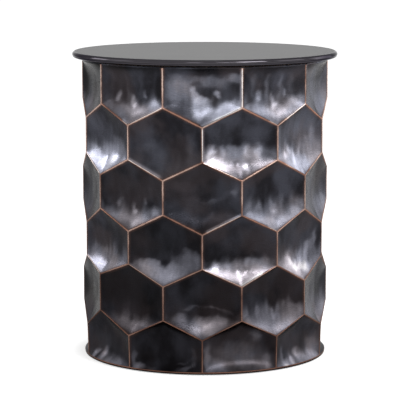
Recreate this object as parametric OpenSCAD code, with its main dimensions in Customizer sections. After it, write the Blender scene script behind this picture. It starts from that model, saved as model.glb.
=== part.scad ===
// Drum storage table: a drum of sheet steel, embossed all round with a honeycomb of dished cells,
// closed below by a floor pan and above by a lid that lifts off.
// The axis is +Z, the floor is z = 0 and the front faces -Y.

/* [Drum wall] */
// Radius from the axis to the ridges between the cells
ridge_r = 213; // [190:1:240]
// Height of the wall from its bottom edge to its mouth
drum_h = 516; // [440:1:600]
// Thickness of the sheet that the wall is pressed from
sheet_t = 1; // [0.6:0.1:1.6]
// How far the wall's bottom edge lies inside the ridges
foot_inset = 2; // [0:0.5:5]
// Height of the plain collar at the bottom edge and at the mouth
collar_h = 4; // [3.6:0.1:8]

/* [Honeycomb] */
// Number of cells in one row around the drum
cells_around = 10; // [9:1:14]
// Height from one row of cells to the next
cell_pitch = 89.2; // [70:0.1:110]
// Height of a cell's upright ridges
cell_edge = 57.8; // [40:0.1:66]
// Height of the lowest zigzag's low corners above the wall's bottom edge
first_corner = 58.2; // [50:0.1:80]
// Depth of a cell's middle below the ridge radius
dish_depth = 16; // [11:0.5:22]
// Turn of the whole pattern about the axis, in degrees
pattern_turn = -1.15; // [-18:0.05:18]

/* [Rings and floor] */
// Thickness of the flat steel rings at the mouth and the base
ring_t = 3; // [2:0.1:3.5]
// Width of the mouth ring
mouth_ring_w = 11; // [10:0.5:13]
// Width of the base ring inside its circle of rivets
rivet_land = 6; // [5:0.5:14]
// Thickness of the floor pan
pan_t = 1.2; // [0.8:0.1:2]
// Height of the floor pan's turned-up lip
pan_lip_h = 8; // [4:0.5:14]
// Radius of a rivet's shank
rivet_r = 2; // [1.5:0.1:2.5]
// Radius of a rivet's head
rivet_head_r = 3.8; // [3:0.1:5]
// Height of a rivet's head
rivet_head_h = 1.2; // [0.8:0.1:2]
// Number of rivets between one glide and the next
rivets_between = 2; // [1:1:3]

/* [Foot glides] */
// Number of glides under the base ring
glide_count = 4; // [3:1:6]
// Height of a glide's pad under the base ring
glide_t = 1.5; // [1.2:0.1:4]
// Radius of a glide's pad
glide_r = 9; // [6:0.5:11]
// Radius of a glide's stem
glide_stem_r = 3; // [2:0.1:4]

/* [Lid] */
// How far the lid stands out past the ridges
lid_overhang = 17; // [10:0.5:30]
// Thickness of the lid over its rounded rim
lid_t = 10.5; // [8:0.1:16]
// Thickness of the lid's steel skin
skin_t = 1.2; // [0.8:0.1:1.8]
// How far the edge of the skin's hem stays outside the ridges
hem_inset = 3; // [1:0.5:4]
// Gap between the drum's mouth and the lid's hem
lid_gap = 1; // [0.5:0.1:3]
// Height of the ring that drops into the mouth
locating_h = 16; // [8:0.5:22]
// Thickness of that ring
locating_t = 2; // [1:0.1:3]
// Play between that ring and the mouth ring
lid_play = 1.5; // [0.8:0.1:3]

/* [Lid fixings] */
// Number of tabs that hold the locating ring
tab_count = 4; // [3:1:6]
// Thickness of a tab
tab_t = 1.5; // [1:0.1:2]
// Length of a tab's flat leg under the board
tab_leg = 16; // [12:0.5:24]
// How far a tab's upright leg stops short of the locating ring's lower edge
tab_short = 5; // [2:0.5:6]
// Angle that a tab covers around the ring, in degrees
tab_angle = 4.5; // [3:0.1:8]
// Radius of a tab screw's shank
screw_r = 1.7; // [1.2:0.1:2.2]
// Radius of a tab screw's head
screw_head_r = 3.4; // [2.8:0.1:4.5]
// Height of a tab screw's head
screw_head_h = 2; // [1.2:0.1:2.6]
// Thickness of the board left over a tab screw's tip
tip_cover = 2.4; // [1.5:0.1:3.5]
// Number of pads that the lid rests on
pad_count = 4; // [3:1:8]
// Radius of a rest pad
pad_r = 4.5; // [3:0.1:4.8]

/* [Hidden] */
// Clearance between the wall and the flat rings inside it
wall_clear = 0.3;
// Clearance between the floor pan's lip and the cells' middles
pan_clear = 1;
// Clearance of a shank in its hole, and of the board in its skin
fit_clear = 0.1;
// Gap at a spot-welded seam
weld_gap = 0.1;
// Gap between a rivet's head and the floor pan's lip
head_clear = 1;
// Height of the floor under a rivet's tail, and the tail's width as a share of the shank's
tail_clear = 0.6;
tail_share = 1.4;
// Least depth of the top cells' middles below the mouth's collar, as a share of the locating ring's
top_cell_share = 2.25;
// Number of chords that round each cell's edge at a collar
arc_steps = 6;
// Places of the rings of facets, as shares of the way from a cell's middle to its edge
facet_rings = [1, 0.86, 0.48];
// How far a cut runs past the face that it opens
cut = 1;
$fn = 96;

// Heights in the part's frame
wall_z = glide_t;
mouth_z = wall_z + drum_h;
floor_z = wall_z + ring_t;
lid_z = mouth_z + lid_gap;
board_z = lid_z + skin_t + fit_clear;
board_t = lid_t - 2 * (skin_t + fit_clear);
screw_bite = board_t - tip_cover;
tab_rise = locating_h - tab_short;

// Radii
foot_r = ridge_r - foot_inset;
well_r = ridge_r - dish_depth - sheet_t;
pan_r = well_r - pan_clear;
// A collar is a polygon, so its flats lie a little inside its corners
flat_share = cos(180 / (cells_around * arc_steps));
base_ring_r = (foot_r - sheet_t) * flat_share - wall_clear;
rivet_ring_r = pan_r - pan_t - head_clear - rivet_head_r;
base_bore_r = rivet_ring_r - rivet_land;
glide_ring_r = (base_ring_r + base_bore_r) / 2;
mouth_ring_r = (ridge_r - sheet_t) * flat_share - wall_clear;
mouth_bore_r = mouth_ring_r - mouth_ring_w;
lid_r = ridge_r + lid_overhang;
hem_r = ridge_r + hem_inset;
locating_r = mouth_bore_r - lid_play;
pad_ring_r = (mouth_ring_r + mouth_bore_r) / 2;
tab_r = locating_r - locating_t - weld_gap;
screw_ring_r = tab_r - tab_t - (tab_leg - tab_t) / 2;

// Honeycomb layout
half_cell = 180 / cells_around;
zigzag_h = cell_pitch - cell_edge;
// How far the locating ring reaches below the mouth's collar, which the top cells leave room for
ring_drop = mouth_z - collar_h - (board_z - locating_h);
top_row_min = cell_edge / 2 + top_cell_share * ring_drop;
zigzags = 1 + floor((drum_h - first_corner - zigzag_h - collar_h - top_row_min) / cell_pitch);
arc_half = arc_steps / 2;

// Corners that the hand-worked wall has out of line: zigzag, corner, turn in degrees and lift
strays = [
    [0, -3, -2, 2.5],
    [0, 3, 0, -3],
    [1, -3, -2, 7.5],
    [1, -2, 0, 2],
    [1, 3, 0, -2],
    [2, -3, -1.4, 0],
    [3, -3, -1.4, 0],
    [4, -4, 0, 3]
];

// A point at radius r, at angle a from the front and height z
function around(r, a, z) = [r * sin(a), -r * cos(a), z];

// Corners that the honeycomb counts round the drum, half a cell apart, brought back into one turn
function wrap(m) = (m + 2 * cells_around) % (2 * cells_around);

// Turn and lift of corner m of zigzag j
function stray(j, m) = let (found = [for (s = strays) if (s[0] == j && wrap(s[1]) == wrap(m)) s])
    len(found) > 0 ? [found[0][2], found[0][3]] : [0, 0];

// Corner m of zigzag j; every other corner is a low one
function corner(j, m) = let (n = wrap(m), s = stray(j, m)) around(
    ridge_r,
    pattern_turn + half_cell * n + s[0],
    first_corner + cell_pitch * j + ((j + n) % 2 == 0 ? 0 : zigzag_h) + s[1]
);

// Point g of the circle at a collar, arc_half points for each half cell
function collar_point(r, z, g) = let (n = 2 * cells_around * arc_half)
    around(r, pattern_turn + half_cell / arc_half * ((g + n) % n), z);
function collar(r, z) = [for (g = [0 : 2 * cells_around * arc_half - 1]) collar_point(r, z, g)];

// The run from a to b, with its middle and without b
function run(a, b) = [a, (a + b) / 2];

// The edge of the cell of row k that is centred at corner m, anticlockwise as seen from outside
function bottom_edge(m) = concat(
    [for (i = [-arc_half : arc_half - 1]) collar_point(foot_r, collar_h, m * arc_half + i)],
    run(collar_point(foot_r, collar_h, (m + 1) * arc_half), corner(0, m + 1)),
    run(corner(0, m + 1), corner(0, m)),
    run(corner(0, m), corner(0, m - 1)),
    run(corner(0, m - 1), collar_point(foot_r, collar_h, (m - 1) * arc_half))
);
function middle_edge(k, m) = concat(
    run(corner(k - 1, m), corner(k - 1, m + 1)),
    run(corner(k - 1, m + 1), corner(k, m + 1)),
    run(corner(k, m + 1), corner(k, m)),
    run(corner(k, m), corner(k, m - 1)),
    run(corner(k, m - 1), corner(k - 1, m - 1)),
    run(corner(k - 1, m - 1), corner(k - 1, m))
);
function top_edge(m) = let (k = zigzags, z = drum_h - collar_h) concat(
    run(corner(k - 1, m), corner(k - 1, m + 1)),
    run(corner(k - 1, m + 1), collar_point(ridge_r, z, (m + 1) * arc_half)),
    [for (i = [arc_half : -1 : 1 - arc_half]) collar_point(ridge_r, z, m * arc_half + i)],
    run(collar_point(ridge_r, z, (m - 1) * arc_half), corner(k - 1, m - 1)),
    run(corner(k - 1, m - 1), corner(k - 1, m))
);
function cell_edge_points(k, m) =
    k == 0 ? bottom_edge(m) : k == zigzags ? top_edge(m) : middle_edge(k, m);

// Height of the middle of a cell in row k
function cell_middle(k) = first_corner + cell_pitch * k - cell_edge / 2;

// The point at share s of the way from a cell's middle to point p of its edge: the dish is a parabola
function dished(p, k, m, s) = let (
    a = pattern_turn + half_cell * wrap(m),
    out = around(1, a, 0),
    side = [cos(a), sin(a), 0],
    floor_r = ridge_r - dish_depth,
    z = cell_middle(k)
) out * (floor_r + (p * out - floor_r) * s * s) + side * (p * side) * s + [0, 0, z + (p.z - z) * s];

// Triangles between two loops of points, and between a loop and a point
function band(a, b) = [
    for (i = [0 : len(a) - 1]) let (j = (i + 1) % len(a)) each [[a[i], a[j], b[j]], [a[i], b[j], b[i]]]
];
function fan(a, tip) = [for (i = [0 : len(a) - 1]) [a[i], a[(i + 1) % len(a)], tip]];
function flipped(triangles) = [for (t = triangles) [t[0], t[2], t[1]]];

function cell_faces(k, m) = let (
    edge = cell_edge_points(k, m),
    rings = [for (s = facet_rings) [for (p = edge) dished(p, k, m, s)]],
    last = len(rings) - 1
) concat(
    [for (i = [1 : last]) each band(rings[i - 1], rings[i])],
    fan(rings[last], dished(edge[0], k, m, 0))
);

// The wall's outer face, and the same face moved in by the sheet's thickness
function outer_face() = concat(
    band(collar(foot_r, 0), collar(foot_r, collar_h)),
    [for (k = [0 : zigzags], c = [0 : cells_around - 1]) each cell_faces(k, 2 * c + (k + 1) % 2)],
    band(collar(ridge_r, drum_h - collar_h), collar(ridge_r, drum_h))
);
function moved_in(p) = let (r = norm([p.x, p.y])) [p.x * (r - sheet_t) / r, p.y * (r - sheet_t) / r, p.z];
function inner(points) = [for (p = points) moved_in(p)];

module from_triangles(triangles) {
    polyhedron(
        points = [for (t = triangles) each t],
        faces = [for (i = [0 : len(triangles) - 1]) [3 * i, 3 * i + 2, 3 * i + 1]]
    );
}

module drum_shell() {
    outside = outer_face();
    inside = flipped([for (t = outside) inner(t)]);
    bottom = collar(foot_r, 0);
    mouth = collar(ridge_r, drum_h);
    color([0.2, 0.19, 0.2]) translate([0, 0, wall_z])
        from_triangles(concat(outside, inside, band(inner(bottom), bottom), band(mouth, inner(mouth))));
}

// A flat ring with its lower face at z
module flat_ring(outer_r, bore_r, h, z) {
    translate([0, 0, z]) difference() {
        cylinder(r = outer_r, h = h);
        translate([0, 0, -cut]) cylinder(r = bore_r, h = h + 2 * cut);
    }
}

// Copies of what follows, count of them round a circle of radius r, the first at angle a from the front
module spread(count, r, a) {
    for (i = [0 : count - 1]) translate(around(r, a + 360 / count * i, 0)) children();
}

// Glides and rivets share one division of the circle; the first glide stands half a step past the front
glide_a = 180 / glide_count;
rivet_step = 360 / (glide_count * (rivets_between + 1));
module each_rivet() {
    for (i = [1 : rivets_between]) spread(glide_count, rivet_ring_r, glide_a + rivet_step * i) children();
}

module mouth_ring() {
    color([0.12, 0.12, 0.13]) flat_ring(mouth_ring_r, mouth_bore_r, ring_t, mouth_z - ring_t);
}

module base_ring() {
    color([0.12, 0.12, 0.13]) difference() {
        flat_ring(base_ring_r, base_bore_r, ring_t, wall_z);
        each_rivet() cylinder(r = rivet_r + fit_clear, h = floor_z + cut);
        spread(glide_count, glide_ring_r, glide_a)
            cylinder(r = glide_stem_r + fit_clear, h = floor_z + cut);
    }
}

module floor_pan() {
    color([0.16, 0.16, 0.17]) translate([0, 0, floor_z]) difference() {
        cylinder(r = pan_r, h = pan_lip_h);
        translate([0, 0, pan_t]) cylinder(r = pan_r - pan_t, h = pan_lip_h);
        translate([0, 0, -cut]) each_rivet() cylinder(r = rivet_r + fit_clear, h = pan_t + 2 * cut);
    }
}

module pan_rivets() {
    color([0.55, 0.55, 0.56]) each_rivet() {
        translate([0, 0, tail_clear]) cylinder(r = rivet_r * tail_share, h = wall_z - tail_clear);
        translate([0, 0, tail_clear]) cylinder(r = rivet_r, h = floor_z + pan_t + rivet_head_h - tail_clear);
        translate([0, 0, floor_z + pan_t]) cylinder(r = rivet_head_r, h = rivet_head_h);
    }
}

module foot_glide(i) {
    a = glide_a + 360 / glide_count * (i - 1);
    color([0.06, 0.06, 0.06]) translate(around(glide_ring_r, a, 0)) {
        cylinder(r = glide_r, h = glide_t);
        cylinder(r = glide_stem_r, h = floor_z - fit_clear);
    }
}

// Half the section of a disc with a half-round rim, from z to z + h
module rounded_section(rim_r, h, z) {
    translate([0, z]) square([rim_r - h / 2, h]);
    translate([rim_r - h / 2, z + h / 2]) circle(d = h);
}

module lid_skin() {
    color([0.2, 0.2, 0.21]) rotate_extrude() difference() {
        rounded_section(lid_r, lid_t, lid_z);
        rounded_section(lid_r - skin_t, lid_t - 2 * skin_t, lid_z + skin_t);
        translate([0, lid_z - cut]) square([hem_r, cut + lid_t / 2]);
    }
}

module lid_board() {
    color([0.55, 0.42, 0.3]) difference() {
        rotate_extrude() rounded_section(lid_r - skin_t - fit_clear, board_t, board_z);
        translate([0, 0, board_z - cut]) spread(tab_count, screw_ring_r, 0)
            cylinder(r = screw_r + fit_clear, h = cut + screw_bite + fit_clear);
    }
}

module locating_ring() {
    color([0.12, 0.12, 0.13])
        flat_ring(locating_r, locating_r - locating_t, locating_h, board_z - locating_h);
}

// A bent tab: one leg upright against the locating ring, the other flat under the board
module ring_tab(i) {
    turn = 360 / tab_count * (i - 1) - 90;
    color([0.3, 0.3, 0.31]) difference() {
        rotate([0, 0, turn - tab_angle / 2]) rotate_extrude(angle = tab_angle) {
            translate([tab_r - tab_t, board_z - tab_rise]) square([tab_t, tab_rise]);
            translate([tab_r - tab_leg, board_z - tab_t]) square([tab_leg, tab_t]);
        }
        rotate([0, 0, turn]) translate([screw_ring_r, 0, board_z - tab_t - cut])
            cylinder(r = screw_r + fit_clear, h = tab_t + 2 * cut);
    }
}

module ring_screws() {
    color([0.6, 0.6, 0.62]) spread(tab_count, screw_ring_r, 0) {
        translate([0, 0, board_z - tab_t - screw_head_h]) cylinder(r = screw_head_r, h = screw_head_h);
        translate([0, 0, board_z - tab_t]) cylinder(r = screw_r, h = tab_t + screw_bite);
    }
}

// The pads stand half a step past the front
module rest_pad(i) {
    a = 180 / pad_count + 360 / pad_count * (i - 1);
    color([0.1, 0.1, 0.1]) translate(around(pad_ring_r, a, mouth_z))
        cylinder(r = pad_r, h = board_z - mouth_z);
}

drum_shell();
mouth_ring();
base_ring();
floor_pan();
pan_rivets();
for (i = [1 : glide_count]) foot_glide(i);
lid_skin();
lid_board();
locating_ring();
for (i = [1 : tab_count]) ring_tab(i);
ring_screws();
for (i = [1 : pad_count]) rest_pad(i);
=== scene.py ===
"""Drum storage table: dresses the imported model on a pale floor, under soft studio light."""
import logging
import math
import random
from dataclasses import dataclass, field
from enum import Enum, IntEnum
from typing import Sequence

import bpy
import numpy as np
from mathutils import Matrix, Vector


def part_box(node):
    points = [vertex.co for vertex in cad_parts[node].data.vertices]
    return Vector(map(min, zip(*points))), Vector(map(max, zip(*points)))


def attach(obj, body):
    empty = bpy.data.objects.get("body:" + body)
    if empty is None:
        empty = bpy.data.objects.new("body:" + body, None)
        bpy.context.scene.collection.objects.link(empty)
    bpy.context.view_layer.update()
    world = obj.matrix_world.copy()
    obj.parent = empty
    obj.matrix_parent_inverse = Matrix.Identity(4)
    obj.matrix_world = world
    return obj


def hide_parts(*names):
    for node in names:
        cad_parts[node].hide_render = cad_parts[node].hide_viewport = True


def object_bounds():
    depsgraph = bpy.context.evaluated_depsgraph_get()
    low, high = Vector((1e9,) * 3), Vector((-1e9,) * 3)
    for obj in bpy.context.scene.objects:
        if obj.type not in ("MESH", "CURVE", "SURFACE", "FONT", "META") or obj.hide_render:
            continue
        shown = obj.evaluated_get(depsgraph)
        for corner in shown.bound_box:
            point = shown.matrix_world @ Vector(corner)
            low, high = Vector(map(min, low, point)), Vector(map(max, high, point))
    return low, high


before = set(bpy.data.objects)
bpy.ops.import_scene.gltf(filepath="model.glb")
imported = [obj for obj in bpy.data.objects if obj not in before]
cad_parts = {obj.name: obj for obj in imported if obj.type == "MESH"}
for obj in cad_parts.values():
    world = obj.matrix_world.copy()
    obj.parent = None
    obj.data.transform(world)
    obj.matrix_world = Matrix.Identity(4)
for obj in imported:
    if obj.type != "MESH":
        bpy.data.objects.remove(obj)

CAD_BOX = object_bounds()
MM = 0.001
RIDGE_RADIUS = 213 * MM

log = logging.getLogger("drum_table")

Color = tuple[float, float, float]
Point = tuple[float, float, float]
Span = tuple[float, float]
Measure = float | np.ndarray
Output = bpy.types.NodeSocket
Number = Output | float

WHITE: Color = (1.0, 1.0, 1.0)
DUST: Color = (0.42, 0.40, 0.37)


class Body(Enum):
    """The two rigid bodies that the pieces ride on."""

    DRUM = "drum"
    LID = "lid"


class Slot(Enum):
    """Material slot names for the new pieces; nothing in the script uses them."""

    DRUM_STEEL = "drum_steel"
    LID_STEEL = "lid_steel"


class Tree:
    """A node tree with short calls that add nodes and join them."""

    def __init__(self, tree: bpy.types.NodeTree) -> None:
        """Wraps a material's or a group's node tree."""
        self.tree = tree

    def add(self, kind: str, **settings: object) -> bpy.types.Node:
        """Adds a node.

        Args:
            kind: the node's type, without the ShaderNode that it starts with.
            settings: attributes to set on the node.

        Returns:
            The new node.
        """
        node = self.tree.nodes.new("ShaderNode" + kind)
        for name, value in settings.items():
            setattr(node, name, value)
        return node

    def put(self, node: bpy.types.Node, socket: str | int, value: object) -> None:
        """Sets a node's input, or joins it to another node's output.

        Args:
            node: the node whose input is set.
            socket: the input's name or number.
            value: a plain value, or the output to join.
        """
        if isinstance(value, Output):
            self.tree.links.new(value, node.inputs[socket])
        else:
            node.inputs[socket].default_value = value

    def math(self, operation: str, a: Number, b: Number = 0.0) -> Output:
        """Adds a sum, a product or another operation on two numbers.

        Args:
            operation: the operation's name.
            a: the first number.
            b: the second number.

        Returns:
            The result.
        """
        node = self.add("Math", operation=operation)
        self.put(node, 0, a)
        self.put(node, 1, b)
        return node.outputs[0]

    def times(self, *factors: Number) -> Output:
        """Multiplies two or more numbers.

        Args:
            factors: the numbers.

        Returns:
            Their product.
        """
        product = factors[0]
        for factor in factors[1:]:
            product = self.math("MULTIPLY", product, factor)
        return product

    def ramp(self, value: Number, low: Number, high: Number, smooth: bool = True) -> Output:
        """Maps a number to 0 at low and 1 at high.

        Args:
            value: the number.
            low: the value that gives 0.
            high: the value that gives 1.
            smooth: whether the ends are eased.

        Returns:
            The result.
        """
        node = self.add("MapRange", interpolation_type="SMOOTHSTEP" if smooth else "LINEAR")
        self.put(node, "Value", value)
        self.put(node, "From Min", low)
        self.put(node, "From Max", high)
        return node.outputs["Result"]

    def mix(self, share: Number, a: Output | Color, b: Output | Color, way: str = "MIX") -> Output:
        """Mixes two colours.

        Args:
            share: how much of the second colour, from 0 to 1.
            a: the first colour.
            b: the second colour.
            way: the blend type.

        Returns:
            The mixed colour.
        """
        node = self.add("Mix", data_type="RGBA", blend_type=way)
        for index, value in ((0, share), (6, a), (7, b)):
            self.put(node, index, rgba(value) if isinstance(value, tuple) else value)
        return node.outputs[2]

    def blend(self, share: Number, a: Number, b: Number) -> Output:
        """Mixes two numbers.

        Args:
            share: how much of the second number, from 0 to 1.
            a: the first number.
            b: the second number.

        Returns:
            The mixed number.
        """
        node = self.add("Mix", data_type="FLOAT")
        for index, value in ((0, share), (2, a), (3, b)):
            self.put(node, index, value)
        return node.outputs[0]

    def noise(self, places: Output, scale: Number, detail: float) -> Output:
        """Adds a noise texture.

        Args:
            places: the coordinates.
            scale: the noise's scale.
            detail: its number of octaves.

        Returns:
            The noise's value, around 0.5.
        """
        node = self.add("TexNoise")
        self.put(node, "Vector", places)
        self.put(node, "Scale", scale)
        self.put(node, "Detail", detail)
        return node.outputs[0]

    def places(self) -> Output:
        """Gives the coordinates in the piece's own frame."""
        return self.add("TexCoord").outputs["Object"]

    def upright(self, vector: Output) -> Output:
        """Gives a vector's upright part.

        Args:
            vector: the vector.

        Returns:
            Its third number.
        """
        parts = self.add("SeparateXYZ")
        self.put(parts, 0, vector)
        return parts.outputs["Z"]

    def facing_up(self) -> Output:
        """Gives how far the surface faces up, 1 where it is level."""
        return self.upright(self.add("NewGeometry").outputs["Normal"])

    def drawn_out(self, upright: Output) -> Output:
        """Gives the coordinates squeezed upright, so that a texture on them is drawn out.

        Args:
            upright: how many times it is drawn out.

        Returns:
            The coordinates.
        """
        squeeze = self.add("CombineXYZ")
        for axis, value in (("X", 1.0), ("Y", 1.0), ("Z", self.math("DIVIDE", 1.0, upright))):
            self.put(squeeze, axis, value)
        drawn = self.add("VectorMath", operation="MULTIPLY")
        self.put(drawn, 0, self.places())
        self.put(drawn, 1, squeeze.outputs[0])
        return drawn.outputs[0]

    def attribute(self, name: str) -> Output:
        """Gives a value that the mesh's points carry."""
        return self.add("Attribute", attribute_name=name).outputs["Fac"]

    def group(self, group: bpy.types.NodeTree, **inputs: Number) -> bpy.types.Node:
        """Places a node group.

        Args:
            group: the group's tree.
            inputs: its inputs.

        Returns:
            The group's node.
        """
        node = self.add("Group", node_tree=group)
        for name, value in inputs.items():
            self.put(node, name, value)
        return node

    def mask(self, group: bpy.types.NodeTree, **inputs: Number) -> Output:
        """Places a node group and gives its mask."""
        return self.group(group, **inputs).outputs["Mask"]


def rgba(color: Color) -> tuple[float, ...]:
    """Gives a colour its alpha of one."""
    return (*color, 1.0)


def new_group(
    name: str, inputs: dict[str, float], outputs: Sequence[str]
) -> tuple[Tree, bpy.types.Node, bpy.types.Node]:
    """Starts a node group whose sockets are all numbers.

    Args:
        name: the group's name.
        inputs: the inputs' names and default values.
        outputs: the outputs' names.

    Returns:
        The group's tree, its input node and its output node.
    """
    group = bpy.data.node_groups.new(name, "ShaderNodeTree")
    sockets = group.interface
    for label, value in inputs.items():
        sockets.new_socket(label, in_out="INPUT", socket_type="NodeSocketFloat").default_value = value
    for label in outputs:
        sockets.new_socket(label, in_out="OUTPUT", socket_type="NodeSocketFloat")
    return Tree(group), group.nodes.new("NodeGroupInput"), group.nodes.new("NodeGroupOutput")


@dataclass(frozen=True)
class Effects:
    """The shader node groups that several finishes share."""

    mottle: bpy.types.NodeTree
    grain: bpy.types.NodeTree
    dust: bpy.types.NodeTree

    @classmethod
    def build(cls) -> "Effects":
        """Builds the groups once."""
        return cls(cls.build_mottle(), cls.build_grain(), cls.build_dust())

    @staticmethod
    def build_mottle() -> bpy.types.NodeTree:
        """Builds cloudy patches: a mask from 0 to 1 whose patches can be drawn out upright.

        Returns:
            The group, with the inputs Scale, Upright, Low and High and the output Mask.
        """
        defaults = {"Scale": 20.0, "Upright": 1.0, "Low": 0.35, "High": 0.65}
        tree, enter, leave = new_group("mottle", defaults, ["Mask"])
        given = enter.outputs
        value = tree.noise(tree.drawn_out(given["Upright"]), given["Scale"], 4.0)
        tree.put(leave, "Mask", tree.ramp(value, given["Low"], given["High"]))
        return tree.tree

    @staticmethod
    def build_grain() -> bpy.types.NodeTree:
        """Builds the fine tooth of a finish, and the slow swing of its roughness.

        Returns:
            The group, with the inputs Scale, Upright, Rough and Spread and the outputs Height and
            Roughness.
        """
        defaults = {"Scale": 900.0, "Upright": 1.0, "Rough": 0.3, "Spread": 0.1}
        tree, enter, leave = new_group("grain", defaults, ["Height", "Roughness"])
        given = enter.outputs
        places = tree.drawn_out(given["Upright"])
        tree.put(leave, "Height", tree.noise(places, given["Scale"], 3.0))
        coarse = tree.noise(places, tree.times(given["Scale"], 0.12), 2.0)
        swing = tree.times(tree.math("SUBTRACT", coarse, 0.5), given["Spread"])
        tree.put(leave, "Roughness", tree.math("ADD", given["Rough"], swing))
        return tree.tree

    @staticmethod
    def build_dust() -> bpy.types.NodeTree:
        """Builds a thin settling of dust on what faces up.

        Returns:
            The group, with the inputs Amount and Scale and the output Mask.
        """
        tree, enter, leave = new_group("dust", {"Amount": 0.1, "Scale": 60.0}, ["Mask"])
        given = enter.outputs
        facing = tree.ramp(tree.facing_up(), 0.5, 1.0)
        patch = tree.ramp(tree.noise(tree.places(), given["Scale"], 5.0), 0.4, 0.75)
        tree.put(leave, "Mask", tree.times(facing, patch, given["Amount"]))
        return tree.tree


def new_material(name: str) -> tuple[bpy.types.Material, Tree, bpy.types.Node]:
    """Starts a material.

    Args:
        name: the material's name.

    Returns:
        The material, its tree and its Principled BSDF.
    """
    material = bpy.data.materials.new(name)
    material.use_nodes = True
    material.node_tree.nodes.clear()
    tree = Tree(material.node_tree)
    shader = tree.add("BsdfPrincipled")
    tree.put(tree.add("OutputMaterial"), "Surface", shader.outputs[0])
    return material, tree, shader


def add_bump(tree: Tree, shader: bpy.types.Node, height: Output, depth: float) -> None:
    """Raises a shader's surface by a height map.

    Args:
        tree: the material's tree.
        shader: its Principled BSDF.
        height: the height, from 0 to 1.
        depth: the height that 1 stands for, in metres.
    """
    bump = tree.add("Bump")
    tree.put(bump, "Strength", 1.0)
    tree.put(bump, "Distance", depth)
    tree.put(bump, "Height", height)
    tree.put(shader, "Normal", bump.outputs[0])


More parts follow.
